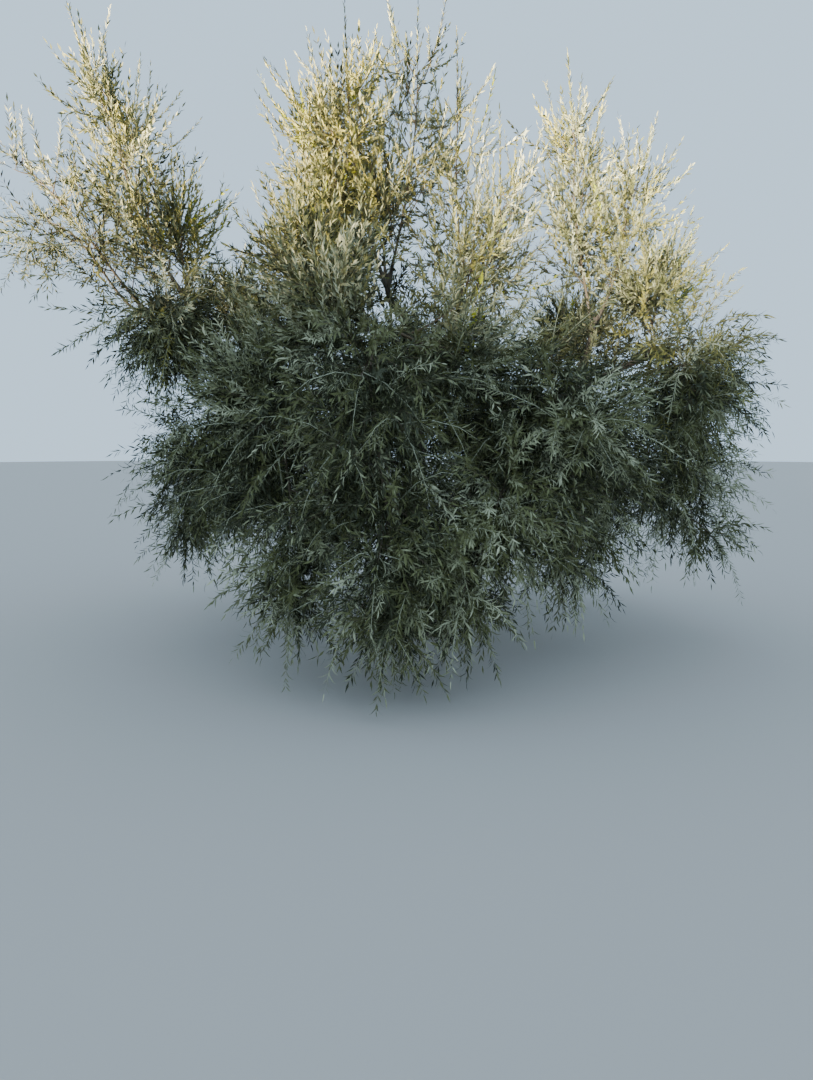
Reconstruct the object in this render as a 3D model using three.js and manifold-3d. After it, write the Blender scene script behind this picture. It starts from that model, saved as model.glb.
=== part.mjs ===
// A broad olive tree with leaning limbs, upright plumes along its top and a weeping skirt that almost
// meets the ground. Millimetres, +Z up, +X to the viewer's right and +Y away from the viewer.
// The origin is the middle of the flat cut under the trunk, at ground level.
//
// The trunk forks into limbs, the limbs into boughs, and the end of each bough carries masses of foliage.
// A mass is one stem with shoots round it and leafy sprays along the shoots, placed by a seeded rule.
// Places round the tree are a bearing (0 is +X, 90 is +Y), a distance out from the trunk's axis and a
// height above the ground. Pitches are degrees above the horizon.
import * as THREE from "three";
import { mergeVertices } from "three/addons/utils/BufferGeometryUtils.js";
import Module from "manifold-3d";

const wasm = await Module();
wasm.setup();

const GAP = 0.3; // clearance between two solids that meet
const UP = new THREE.Vector3(0, 0, 1);
const GOLDEN_ANGLE = Math.PI * (3 - Math.sqrt(5));

// Curves: the share of a limb's or stem's span over which it keeps to the way it leaves and arrives
const LEAVING = 0.36;
const ARRIVING = 0.42;

// Trunk
const FORK_HEIGHT = 800;
const FORK_RADIUS = 205;
const WAIST_RADIUS = 185;
const FLARE_RADIUS = 330;
const FLARE_HEIGHT = 260; // the root flare dies out above this
const TRUNK_LEAN = new THREE.Vector3(40, -30, 0); // how far the fork stands off the foot's middle
const FLUTES = 5;
const FLUTE_DEPTH = 0.09; // share of the radius
const FLUTE_TWIST = 4.5; // radians that the flutes turn from foot to fork
const TRUNK_SIDES = 16;
const TRUNK_STEPS = 6;

// Limbs spring from the trunk's head. start and end are the pitches of a limb's first and last stretch.
const LIMB_SIDES = 7;
const LIMB_STEPS = 6;
const LIMB_SPRING = 0.93; // share of the trunk's length where limbs spring
const LIMB_OFFSET = 95; // how far round the trunk's axis each limb springs
const TAPER = 0.8; // a limb thins in proportion to this power of its length
const LIMBS = [
  { name: "left_limb", bearing: 179, out: 1620, height: 2330, start: 62, end: 42, radius: 84, tip: 46 },
  { name: "centre_limb", bearing: 100, out: 180, height: 2420, start: 80, end: 86, radius: 88, tip: 50 },
  { name: "front_limb", bearing: 268, out: 960, height: 2060, start: 64, end: 28, radius: 74, tip: 42 },
  { name: "right_limb", bearing: 6, out: 1350, height: 2080, start: 60, end: 48, radius: 82, tip: 46 },
  { name: "back_limb", bearing: 88, out: 1100, height: 2140, start: 62, end: 36, radius: 74, tip: 42 },
];

// Boughs, by the limb that they leave. at is the share of the limb's length where they leave it.
const BOUGH_SIDES = 5;
const BOUGH_STEPS = 4;
const BOUGH_RADIUS = 34;
const BOUGH_TIP = 25;
const BOUGHS = {
  left_limb: [
    { name: "left_upper_bough", at: 0.98, bearing: 178, out: 1840, height: 2700, start: 55, end: 74 },
    { name: "left_outer_bough", at: 0.84, bearing: 183, out: 2080, height: 2500, start: 30, end: 30 },
    { name: "left_lower_bough", at: 0.5, bearing: 196, out: 1400, height: 1640, start: 20, end: 5 },
    { name: "left_back_bough", at: 0.66, bearing: 150, out: 1350, height: 2050, start: 35, end: 35 },
  ],
  centre_limb: [
    { name: "centre_left_bough", at: 0.72, bearing: 184, out: 600, height: 2520, start: 45, end: 62 },
    { name: "centre_top_bough", at: 0.98, bearing: 170, out: 230, height: 2780, start: 80, end: 84 },
    { name: "centre_right_bough", at: 0.8, bearing: 345, out: 380, height: 2560, start: 50, end: 66 },
  ],
  front_limb: [
    { name: "front_left_bough", at: 0.66, bearing: 234, out: 1200, height: 1860, start: 30, end: 0 },
    { name: "front_top_bough", at: 0.98, bearing: 262, out: 1280, height: 2220, start: 30, end: 16 },
    { name: "front_right_bough", at: 0.78, bearing: 302, out: 1250, height: 1860, start: 30, end: 4 },
  ],
  right_limb: [
    { name: "right_upper_bough", at: 0.98, bearing: 4, out: 1440, height: 2480, start: 62, end: 82 },
    { name: "right_outer_bough", at: 0.82, bearing: 1, out: 1880, height: 2230, start: 32, end: 25 },
    { name: "right_lower_bough", at: 0.55, bearing: 342, out: 1350, height: 1600, start: 18, end: 0 },
    { name: "right_back_bough", at: 0.68, bearing: 38, out: 1450, height: 2000, start: 32, end: 25 },
  ],
  back_limb: [
    { name: "back_left_bough", at: 0.72, bearing: 118, out: 1300, height: 2200, start: 40, end: 40 },
    { name: "back_right_bough", at: 0.82, bearing: 60, out: 1300, height: 2200, start: 40, end: 40 },
  ],
};

// Masses of foliage, by the limb or bough whose end carries them. bearing, out and height place the
// furthest tip, lift is the pitch of the stem's last stretch (90 grows straight up, -90 hangs straight
// down), and reach is how far the shoots carry from the stem.
const MASSES = {
  back_limb: [
    { name: "back_dome", bearing: 90, out: 2050, height: 2500, lift: 20, reach: 480 },
  ],
  left_upper_bough: [
    { name: "left_spire", bearing: 180, out: 2400, height: 4640, lift: 84, reach: 430 },
    { name: "left_inner_spire", bearing: 177, out: 2000, height: 3660, lift: 80, reach: 320 },
  ],
  left_outer_bough: [
    { name: "far_left_arch", bearing: 181, out: 3400, height: 4000, lift: 42, reach: 240 },
    { name: "far_left_cluster", bearing: 182, out: 3420, height: 3240, lift: 0, reach: 280 },
    { name: "left_dome", bearing: 190, out: 2050, height: 1950, lift: -60, reach: 430 },
  ],
  left_lower_bough: [
    { name: "left_skirt", bearing: 184, out: 1880, height: 440, lift: -86, reach: 280 },
    { name: "left_front_skirt", bearing: 214, out: 1650, height: 780, lift: -80, reach: 420 },
  ],
  left_back_bough: [
    { name: "left_back_dome", bearing: 152, out: 2180, height: 2950, lift: 40, reach: 480 },
    { name: "left_back_skirt", bearing: 138, out: 2050, height: 620, lift: -85, reach: 460 },
  ],
  centre_left_bough: [
    { name: "centre_left_spire", bearing: 180, out: 820, height: 4360, lift: 86, reach: 340 },
    { name: "left_shoulder", bearing: 222, out: 1320, height: 3200, lift: 52, reach: 420 },
  ],
  centre_top_bough: [
    { name: "centre_spire", bearing: 196, out: 560, height: 4500, lift: 86, reach: 420 },
    { name: "high_spire", bearing: 285, out: 70, height: 4790, lift: 88, reach: 400 },
    { name: "back_high_spire", bearing: 112, out: 760, height: 4400, lift: 80, reach: 440 },
  ],
  centre_right_bough: [
    { name: "centre_right_spire", bearing: 6, out: 360, height: 4420, lift: 86, reach: 320 },
    { name: "right_shoulder", bearing: 352, out: 780, height: 3800, lift: 78, reach: 340 },
    { name: "front_shoulder", bearing: 302, out: 1050, height: 3100, lift: 48, reach: 450 },
  ],
  front_left_bough: [
    { name: "front_left_curtain", bearing: 244, out: 1740, height: 130, lift: -85, reach: 420 },
    { name: "front_left_dome", bearing: 226, out: 1880, height: 2050, lift: 20, reach: 440 },
  ],
  front_top_bough: [
    { name: "front_dome", bearing: 250, out: 1780, height: 2640, lift: 48, reach: 480 },
    { name: "front_curtain", bearing: 266, out: 2000, height: 60, lift: -84, reach: 480 },
    { name: "front_right_dome", bearing: 281, out: 1720, height: 2350, lift: 30, reach: 420 },
  ],
  front_right_bough: [
    { name: "front_right_curtain", bearing: 279, out: 1880, height: 110, lift: -84, reach: 480 },
    { name: "front_right_arch", bearing: 302, out: 2200, height: 1350, lift: -30, reach: 420 },
  ],
  right_upper_bough: [
    { name: "right_spire", bearing: 5, out: 1300, height: 4340, lift: 86, reach: 330 },
    { name: "right_twin_spire", bearing: 3, out: 1740, height: 3940, lift: 84, reach: 330 },
  ],
  right_outer_bough: [
    { name: "right_high_shoulder", bearing: 0, out: 2140, height: 3140, lift: 54, reach: 340 },
    { name: "right_outer_weep", bearing: 359, out: 2480, height: 1060, lift: -68, reach: 300 },
    { name: "right_dome", bearing: 338, out: 2250, height: 1350, lift: -72, reach: 460 },
  ],
  right_lower_bough: [
    { name: "right_skirt", bearing: 356, out: 2250, height: 430, lift: -86, reach: 450 },
    { name: "right_front_skirt", bearing: 316, out: 1540, height: 260, lift: -85, reach: 450 },
  ],
  right_back_bough: [
    { name: "right_back_dome", bearing: 36, out: 2230, height: 2800, lift: 42, reach: 480 },
    { name: "right_back_skirt", bearing: 38, out: 2200, height: 330, lift: -85, reach: 460 },
  ],
  back_left_bough: [
    { name: "back_left_spire", bearing: 120, out: 1350, height: 3950, lift: 76, reach: 460 },
    { name: "back_left_curtain", bearing: 109, out: 2050, height: 270, lift: -85, reach: 480 },
  ],
  back_right_bough: [
    { name: "back_right_spire", bearing: 55, out: 1380, height: 3800, lift: 76, reach: 460 },
    { name: "back_right_curtain", bearing: 75, out: 2050, height: 260, lift: -85, reach: 480 },
  ],
};

// Stems
const STEM_RADIUS = 11;
const STEM_TIP = 4;
const STEM_STEPS = 5;
const STEM_OFFSET = 13.5; // how far off the bough's axis each stem starts
const STEM_SPLAY = 0.35; // how far each stem turns away from the bough's axis at once
const LAST_REACH = 0.75; // share of a spray's length by which the last spray stands past the stem's end

// Shoots. The full tree has one every SHOOT_SPACING along a stem, and these solids make every fourth.
const SHOOT_SPACING = 118;
const FEWEST_SHOOTS = 10;
const EVERY_SHOOT = 4;
const SHOOT_RADIUS = 6.5;
const SHOOT_TIP = 2.5;
const SHOOT_STEPS = 2;
const TWIG_SIDES = 3;
const FIRST_SHOOT = 0.1; // share of the stem below the first shoot
const UPRIGHT_OPEN = 40; // degrees from the stem to a shoot of a mass that grows straight up
const LEVEL_OPEN = 62; // degrees from the stem to a shoot of a mass that spreads or hangs
const OPEN_VARIATION = 14;
const SHOOT_RISE = 0.9; // how strongly a shoot bends up in an upright mass and down in a hanging one
const OUTER_SHARE = 0.55; // how long shoots are at the stem's end, as a share of the mass's reach
const SHOOT_LENGTHS = [0.8, 1.15];

// Sprays. The full tree has SPRAYS on each shoot, and these solids make every second one, as a blade that
// stands for a leafy branchlet.
const SPRAYS = 6;
const EVERY_SPRAY = 2;
const FIRST_SPRAY = 0.2; // share of a shoot below its lowest side spray
const LAST_SPRAY = 0.92; // share of a shoot below its highest side spray
const SPRAY_LENGTH = 600;
const SPRAY_LENGTHS = [0.8, 1.05];
const OUTER_SPRAY = 0.8; // size of the sprays at the stem's end, as a share of those at its foot
const SPRAY_WIDTH = 350;
const TIP_WIDTH = 200; // of the sprays that end a shoot or a stem
const SPRAY_FOLD = 14; // how far a spray's edges stand back from its ridge
const SPRAY_BELLY = 0.42; // share of a spray's length where it is widest
const SPRAY_OPEN = [48, 75]; // degrees from the shoot to a side spray
const SPRAY_RISE = 0.3; // how strongly a spray leans up in an upright mass and down in a hanging one
const ROOT_DEPTH = 14; // how far the root of a last spray is sunk in the end of its twig

// Room: what a twig or spray keeps clear of, and how one that has no room is changed before it is left out
const GROUND_CLEARANCE = 25;
const LIMB_CLEARANCE = 24;
const SPACE_MARGIN = 32; // how much nearer its own stem than any other each tested point is
const TEST_SPACING = 32;
const TURNS = [0, 50, -50, 100, -100, 150, -150]; // degrees that it is turned on round its parent
const SIZES = [1, 0.7]; // of a spray
const SMOOTHING = 0.1; // facets that differ by less than this are joined

const BARK = new THREE.MeshStandardMaterial({ color: 0x6b6255, roughness: 0.95, metalness: 0 });
const SUNLIT = new THREE.MeshStandardMaterial({ color: 0x8c9168, roughness: 0.6, metalness: 0 });
const SHADED = new THREE.MeshStandardMaterial({ color: 0x5c6b56, roughness: 0.6, metalness: 0 });

const radians = THREE.MathUtils.degToRad;

const between = (low, high, share) => low + (high - low) * share;

// A number from 0 to 1 that depends only on the keys, so that every run grows the same tree.
function chance(...keys) {
  let hash = 0x9e3779b9;
  for (const key of keys) {
    hash = Math.imul(hash ^ (key + 0x7f4a7c15), 0x85ebca6b);
    hash ^= hash >>> 13;
    hash = Math.imul(hash, 0xc2b2ae35);
    hash ^= hash >>> 16;
  }
  return (hash >>> 0) / 2 ** 32;
}

function place({ bearing, out, height }) {
  return new THREE.Vector3(out * Math.cos(radians(bearing)), out * Math.sin(radians(bearing)), height);
}

// The direction at a pitch, over the level part of another direction.
function pitched(direction, pitch) {
  const level = new THREE.Vector3(direction.x, direction.y, 0).normalize();
  return level.multiplyScalar(Math.cos(radians(pitch))).addScaledVector(UP, Math.sin(radians(pitch)));
}

// The direction at an angle round an axis, from side towards the direction square to both.
function around(axis, side, angle) {
  const square = axis.clone().cross(side);
  return side.clone().multiplyScalar(Math.cos(angle)).addScaledVector(square, Math.sin(angle));
}

// The direction that opens by an angle from an axis towards an outward direction square to it.
function opened(axis, outward, angle) {
  return axis.clone().multiplyScalar(Math.cos(angle)).addScaledVector(outward, Math.sin(angle));
}

// The part of a direction that is square to an axis.
function squareTo(axis, direction) {
  return direction.clone().addScaledVector(axis, -direction.dot(axis)).normalize();
}

// A curve from one place to another that leaves and arrives in the directions given.
function bend(from, leave, to, arrive) {
  const span = from.distanceTo(to);
  const early = from.clone().addScaledVector(leave, LEAVING * span);
  const late = to.clone().addScaledVector(arrive, -ARRIVING * span);
  return new THREE.CubicBezierCurve3(from, early, late, to);
}

// A closed geometry whose corners are shared by the faces that meet there.
function welded(geometry) {
  geometry.deleteAttribute("normal");
  geometry.deleteAttribute("uv");
  return mergeVertices(geometry, 1e-4);
}

// A cylinder's mesh laid along a curve. radiusAt gives the radius from the share of the length and the
// angle round the curve, and grow pushes the whole surface out, its two flat ends too.
function sweep(curve, radiusAt, sides, steps, grow = 0) {
  const geometry = welded(new THREE.CylinderGeometry(1, 1, 1, sides, steps));
  const frames = curve.computeFrenetFrames(steps, false);
  const position = geometry.getAttribute("position");
  const point = new THREE.Vector3();
  for (let i = 0; i < position.count; i++) {
    const share = position.getY(i) + 0.5;
    const ring = Math.round(share * steps);
    const angle = Math.atan2(position.getZ(i), position.getX(i));
    const inset = Math.hypot(position.getX(i), position.getZ(i));
    const radius = inset * (radiusAt(share, angle) + grow);
    const beyond = ring === 0 ? -grow : ring === steps ? grow : 0;
    curve.getPointAt(share, point).addScaledVector(frames.tangents[ring], beyond);
    point.addScaledVector(frames.normals[ring], radius * Math.cos(angle));
    point.addScaledVector(frames.binormals[ring], -radius * Math.sin(angle));
    position.setXYZ(i, point.x, point.y, point.z);
  }
  return geometry;
}

// The point on a swept twig's axis, which runs straight from ring to ring.
function pointOn(curve, steps, share) {
  const ring = Math.min(Math.floor(share * steps), steps - 1);
  const from = curve.getPointAt(ring / steps);
  return from.lerp(curve.getPointAt((ring + 1) / steps), share * steps - ring);
}

// The rings of a swept limb or twig, as points with radii.
function pathOf(curve, steps, radiusAt) {
  return curve.getSpacedPoints(steps).map((point, i) => ({ point, radius: radiusAt(i / steps) }));
}

// A leafy spray as a folded blade of four faces. Its ridge runs from root to tip and looks towards facing,
// and its two edges stand back from the ridge.
function blade({ root, tip, facing, width }) {
  const geometry = welded(new THREE.TetrahedronGeometry(1));
  const along = tip.clone().sub(root);
  const side = facing.clone().cross(along).normalize();
  const fold = root.clone().addScaledVector(along, SPRAY_BELLY).addScaledVector(facing, -SPRAY_FOLD);
  const left = fold.clone().addScaledVector(side, width / 2);
  const right = fold.clone().addScaledVector(side, -width / 2);
  const position = geometry.getAttribute("position");
  [root, tip, left, right].forEach((corner, i) => position.setXYZ(i, corner.x, corner.y, corner.z));
  return geometry;
}

function solidOf(geometry) {
  const solid = new wasm.Manifold(
    new wasm.Mesh({
      numProp: 3,
      vertProperties: new Float32Array(geometry.getAttribute("position").array),
      triVerts: new Uint32Array(geometry.index.array),
    }),
  );
  if (solid.volume() <= 0) throw new Error("a solid is inside out");
  return solid;
}

function geometryOf(solid) {
  const mesh = solid.getMesh();
  const geometry = new THREE.BufferGeometry();
  geometry.setAttribute("position", new THREE.BufferAttribute(mesh.vertProperties, 3));
  geometry.setIndex(new THREE.BufferAttribute(mesh.triVerts, 1));
  geometry.computeVertexNormals();
  return geometry;
}

// The largest body of a solid, without loose scraps or sealed hollows.
function largest(solid) {
  return solid.decompose().reduce((best, body) => (body.volume() > best.volume() ? body : best));
}

// Trunk: a fluted column with a root flare, from the flat cut at the ground to its head.
function makeTrunk() {
  const head = new THREE.Vector3(TRUNK_LEAN.x, TRUNK_LEAN.y, FORK_HEIGHT);
  const bow = new THREE.Vector3(0, 0, FORK_HEIGHT / 2);
  const curve = new THREE.QuadraticBezierCurve3(new THREE.Vector3(), bow, head);
  const roundAt = (share) => {
    const flare = Math.max(0, 1 - (share * FORK_HEIGHT) / FLARE_HEIGHT) ** 2;
    const spread = (FLARE_RADIUS - WAIST_RADIUS) * flare + (FORK_RADIUS - WAIST_RADIUS) * share ** 3;
    return WAIST_RADIUS + spread;
  };
  const flutedAt = (share, angle) =>
    roundAt(share) * (1 + FLUTE_DEPTH * Math.cos(FLUTES * angle + FLUTE_TWIST * share));
  const grown = (grow) => solidOf(sweep(curve, flutedAt, TRUNK_SIDES, TRUNK_STEPS, grow));
  const path = pathOf(curve, TRUNK_STEPS, (share) => roundAt(share) * (1 + FLUTE_DEPTH));
  return { name: "trunk", curve, path, solid: grown(0), grown };
}

// A tapering limb along a curve, cut clear of what it grows from and of the neighbours made before it.
function makeLimb(name, curve, { radius, tip, sides, steps }, neighbours) {
  const radiusAt = (share) => between(radius, tip, share ** TAPER);
  const grown = (grow) => solidOf(sweep(curve, radiusAt, sides, steps, grow));
  const solid = neighbours.reduce((rest, other) => rest.subtract(other.grown(GAP)), grown(0));
  return { name, curve, path: pathOf(curve, 2 * steps, radiusAt), solid: largest(solid), grown };
}

function limbCurve(from, row) {
  const tip = place(row);
  const heading = tip.clone().sub(from);
  return bend(from, pitched(heading, row.start), tip, pitched(heading, row.end));
}

function makeLimbs(trunk) {
  const spring = trunk.curve.getPointAt(LIMB_SPRING);
  const limbs = [];
  for (const row of LIMBS) {
    const from = spring.clone().addScaledVector(pitched(place(row), 0), LIMB_OFFSET);
    const shape = { radius: row.radius, tip: row.tip, sides: LIMB_SIDES, steps: LIMB_STEPS };
    limbs.push(makeLimb(row.name, limbCurve(from, row), shape, [trunk, ...limbs]));
  }
  return limbs;
}

function makeBoughs(limb) {
  const shape = { radius: BOUGH_RADIUS, tip: BOUGH_TIP, sides: BOUGH_SIDES, steps: BOUGH_STEPS };
  const boughs = [];
  for (const row of BOUGHS[limb.name]) {
    const curve = limbCurve(limb.curve.getPointAt(row.at), row);
    boughs.push(makeLimb(row.name, curve, shape, [limb, ...boughs]));
  }
  return boughs;
}

// The angles at which stems stand round a bough's end: shared out evenly, in the order of their aims.
function sharedOut(aims) {
  const order = aims.map((_, i) => i).sort((a, b) => aims[a] - aims[b]);
  const step = (2 * Math.PI) / aims.length;
  const first = order.reduce((sum, i, rank) => sum + aims[i] - rank * step, 0) / aims.length;
  const angles = [];
  order.forEach((i, rank) => {
    angles[i] = first + rank * step;
  });
  return angles;
}

// The stems that grow on from a bough's end, each towards its mass's furthest tip. The last spray covers
// the last stretch, so a stem stops most of a spray's length short of the tip.
function makeStems(bough) {
  const rows = MASSES[bough.name] ?? [];
  const end = bough.curve.getPointAt(1);
  const axis = bough.curve.getTangentAt(1);
  const side = UP.clone().cross(axis).normalize();
  const square = axis.clone().cross(side);
  const goals = rows.map((row) => {
    const tip = place(row);
    const arrive = pitched(tip, row.lift);
    return { row, tip, arrive, stop: tip.clone().addScaledVector(arrive, -LAST_REACH * SPRAY_LENGTH) };
  });
  const aims = goals.map(({ stop }) => stop.clone().sub(end));
  const angles = sharedOut(aims.map((aim) => Math.atan2(aim.dot(square), aim.dot(side))));
  return goals.map(({ row, tip, arrive, stop }, i) => {
    const off = around(axis, side, angles[i]);
    const from = end.clone().addScaledVector(off, STEM_OFFSET);
    const leave = axis.clone().addScaledVector(off, STEM_SPLAY).normalize();
    const curve = bend(from, leave, stop, arrive);
    const shoots = Math.max(FEWEST_SHOOTS, Math.round(curve.getLength() / SHOOT_SPACING));
    const upright = Math.sin(radians(row.lift));
    return { row, bough, tip, arrive, curve, shoots, upright, path: pathOf(curve, STEM_STEPS, () => 0) };
  });
}

// The angle round its parent of shoot or spray n. Each stands a golden angle on from the one `every`
// before it, and those between share out the circle.
function turnOf(n, every) {
  return Math.floor(n / every) * GOLDEN_ANGLE + ((n % every) * 2 * Math.PI) / every;
}

// Shoot number k of a stem, turned on by some degrees.
function shootOf(stem, k, turned) {
  const { row, curve, seed, upright } = stem;
  const share = between(FIRST_SHOOT, 1, (k + 0.5) / stem.shoots);
  const root = pointOn(curve, STEM_STEPS, share);
  const along = curve.getTangentAt(share);
  const side = squareTo(along, UP.clone().cross(place(row)));
  const turn = turnOf(k, EVERY_SHOOT) + 2 * Math.PI * chance(seed) + radians(turned);
  const outward = around(along, side, turn);
  const open = between(LEVEL_OPEN, UPRIGHT_OPEN, Math.max(0, upright));
  const leave = opened(along, outward, radians(open + OPEN_VARIATION * (chance(seed, k, 2) - 0.5)));
  const arrive = leave.clone().addScaledVector(UP, SHOOT_RISE * upright).normalize();
  const fullness = between(1, OUTER_SHARE, share ** 2) * between(...SHOOT_LENGTHS, chance(seed, k, 3));
  const middle = root.clone().addScaledVector(leave, (row.reach * fullness) / 2);
  const tip = middle.clone().addScaledVector(arrive, (row.reach * fullness) / 2);
  const across = along.clone().cross(outward).normalize();
  const size = between(1, OUTER_SPRAY, share ** 2);
  return { k, size, across, curve: new THREE.QuadraticBezierCurve3(root, middle, tip) };
}

// Spray number m of a shoot, counted down from the one that ends it, turned on by some degrees and made
// a share of its full size.
function sprayOf(stem, shoot, m, turned, shrunk) {
  const keys = [stem.seed, shoot.k];
  const size = shoot.size * shrunk;
  const ends = m === 0;
  const share = ends ? 1 : between(LAST_SPRAY, FIRST_SPRAY, m / SPRAYS);
  const root = pointOn(shoot.curve, SHOOT_STEPS, share);
  const along = shoot.curve.getTangentAt(share);
  const turn = turnOf(m, EVERY_SPRAY) + 2 * Math.PI * chance(...keys, 4) + radians(turned);
  const outward = around(along, squareTo(along, shoot.across), turn);
  const open = ends ? 0 : between(...SPRAY_OPEN, chance(...keys, m, 5));
  const heading = opened(along, outward, radians(open));
  heading.addScaledVector(UP, SPRAY_RISE * stem.upright).normalize();
  const length = size * SPRAY_LENGTH * between(...SPRAY_LENGTHS, chance(...keys, m, 6));
  const tip = root.clone().addScaledVector(heading, length);
  if (ends) root.addScaledVector(along, -ROOT_DEPTH);
  const facing = outward.clone().cross(heading).normalize();
  return { root, tip, facing, width: size * (ends ? TIP_WIDTH : SPRAY_WIDTH) };
}

// The spray that ends a stem, turned broadside to the viewer.
function lastSprayOf({ curve, arrive, tip }) {
  const root = curve.getPoint(1).addScaledVector(arrive, -ROOT_DEPTH);
  return { root, tip, facing: squareTo(arrive, new THREE.Vector3(0, 1, 0)), width: TIP_WIDTH };
}

// Distance from a point to the surface of a limb or twig along a path of points with radii.
const stretch = new THREE.Line3();
const nearest = new THREE.Vector3();
function distanceTo(path, point) {
  let least = Infinity;
  for (let i = 1; i < path.length; i++) {
    stretch.set(path[i - 1].point, path[i].point);
    const share = stretch.closestPointToPointParameter(point, true);
    const radius = between(path[i - 1].radius, path[i].radius, share);
    least = Math.min(least, stretch.at(share, nearest).distanceTo(point) - radius);
  }
  return least;
}

// True where every point is in the mass's own space: nearer its stem than any other stem, clear of the
// wood and above the ground.
function hasRoom(points, own, stems, wood) {
  return points.every((point) => {
    if (point.z < GROUND_CLEARANCE) return false;
    if (wood.some((limb) => distanceTo(limb.path, point) < LIMB_CLEARANCE)) return false;
    const reach = distanceTo(own.path, point) + SPACE_MARGIN;
    return stems.every((other) => other === own || distanceTo(other.path, point) > reach);
  });
}

// The places on a twig that are tested, from its root to its tip.
function twigPoints(curve) {
  return curve.getPoints(Math.ceil(curve.getLength() / TEST_SPACING));
}

// The places on a spray that are tested: rows across it from its root to its tip.
function sprayPoints({ root, tip, facing, width }) {
  const along = tip.clone().sub(root);
  const side = facing.clone().cross(along).normalize();
  const rows = Math.ceil(along.length() / TEST_SPACING);
  const points = [];
  for (let i = 0; i <= rows; i++) {
    const share = i / rows;
    const fullness = Math.min(share / SPRAY_BELLY, (1 - share) / (1 - SPRAY_BELLY));
    for (const across of [-0.5, -0.25, 0, 0.25, 0.5]) {
      const point = root.clone().addScaledVector(along, share);
      points.push(point.addScaledVector(side, across * fullness * width));
    }
  }
  return points;
}

function makeTwig(curve, radius, tip, steps) {
  return solidOf(sweep(curve, (share) => between(radius, tip, share), TWIG_SIDES, steps));
}

// One mass: its stem, some of its shoots and some of their sprays, fused into one solid.
function makeMass(stem, stems, wood) {
  const roomFor = (points) => hasRoom(points, stem, stems, wood);
  const addSpray = (choices) => {
    const spray = choices.find((choice) => roomFor(sprayPoints(choice)));
    if (spray) pieces.push(solidOf(blade(spray)));
  };
  const stemSolid = makeTwig(stem.curve, STEM_RADIUS, STEM_TIP, STEM_STEPS);
  const pieces = [stemSolid.subtract(stem.bough.grown(GAP))];
  for (let k = 1; k < stem.shoots; k += EVERY_SHOOT) {
    const choices = TURNS.map((turned) => shootOf(stem, k, turned));
    const shoot = choices.find((choice) => roomFor(twigPoints(choice.curve)));
    if (!shoot) continue;
    pieces.push(makeTwig(shoot.curve, SHOOT_RADIUS, SHOOT_TIP, SHOOT_STEPS));
    for (let m = 0; m < SPRAYS; m += EVERY_SPRAY) {
      addSpray(SIZES.flatMap((shrunk) => TURNS.map((turned) => sprayOf(stem, shoot, m, turned, shrunk))));
    }
  }
  addSpray([lastSprayOf(stem)]);
  return largest(wasm.Manifold.union(pieces).simplify(SMOOTHING));
}

function addMesh(tree, name, solid, material) {
  const mesh = new THREE.Mesh(geometryOf(solid), material);
  mesh.name = name;
  tree.add(mesh);
}

const trunk = makeTrunk();
const limbs = makeLimbs(trunk);
const wood = [trunk, ...limbs, ...limbs.flatMap(makeBoughs)];
const stems = wood.flatMap(makeStems).map((stem, seed) => ({ ...stem, seed }));

const tree = new THREE.Group();
for (const limb of wood) addMesh(tree, limb.name, limb.solid, BARK);
for (const stem of stems) {
  addMesh(tree, stem.row.name, makeMass(stem, stems, wood), stem.row.lift > 0 ? SUNLIT : SHADED);
}

export default tree;
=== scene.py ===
"""A broad olive tree with leaning limbs, upright plumes along its top and a weeping skirt near the ground.

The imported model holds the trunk, the limbs, the boughs and the masses of foliage as plain solids. Here the wood
gets one skin with the relief of old bark, and each mass is grown again by the rule that made its solid, now with
every shoot, every branchlet and single leaves. Metres, +Z up, +X to the viewer's right and +Y away from the viewer,
with the origin under the trunk at ground level. Angles in the plans are degrees.
"""

import logging
import math
from collections.abc import Callable, Iterator, Sequence
from dataclasses import dataclass, field
from enum import Enum

import bmesh
import bpy
import numpy as np
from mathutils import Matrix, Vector, noise


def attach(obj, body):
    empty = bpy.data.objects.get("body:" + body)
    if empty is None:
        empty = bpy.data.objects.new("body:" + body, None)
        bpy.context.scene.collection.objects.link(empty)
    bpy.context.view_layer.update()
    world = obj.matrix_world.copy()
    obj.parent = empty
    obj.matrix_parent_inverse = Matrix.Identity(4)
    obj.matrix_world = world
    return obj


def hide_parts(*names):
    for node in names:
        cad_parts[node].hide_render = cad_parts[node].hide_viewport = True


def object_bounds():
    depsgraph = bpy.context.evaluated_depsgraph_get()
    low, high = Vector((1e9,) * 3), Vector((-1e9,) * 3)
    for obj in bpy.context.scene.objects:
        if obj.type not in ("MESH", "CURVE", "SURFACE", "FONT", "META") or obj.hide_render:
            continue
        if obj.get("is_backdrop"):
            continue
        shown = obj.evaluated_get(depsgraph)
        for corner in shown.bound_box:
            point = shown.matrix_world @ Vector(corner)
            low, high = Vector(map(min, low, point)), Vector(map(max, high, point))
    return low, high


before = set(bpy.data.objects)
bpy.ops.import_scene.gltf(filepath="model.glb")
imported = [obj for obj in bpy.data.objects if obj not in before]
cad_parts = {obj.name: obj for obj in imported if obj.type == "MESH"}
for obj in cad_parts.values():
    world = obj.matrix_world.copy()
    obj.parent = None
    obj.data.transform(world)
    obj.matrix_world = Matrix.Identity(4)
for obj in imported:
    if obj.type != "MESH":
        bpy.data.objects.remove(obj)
CAD_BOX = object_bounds()

log = logging.getLogger("olive")

Array = np.ndarray
UP = np.array([0.0, 0.0, 1.0])
HAIR = 1e-3  # a slight lean, so that square_to is never given a direction along its own axis
GOLDEN_ANGLE = math.pi * (3.0 - math.sqrt(5.0))


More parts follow.
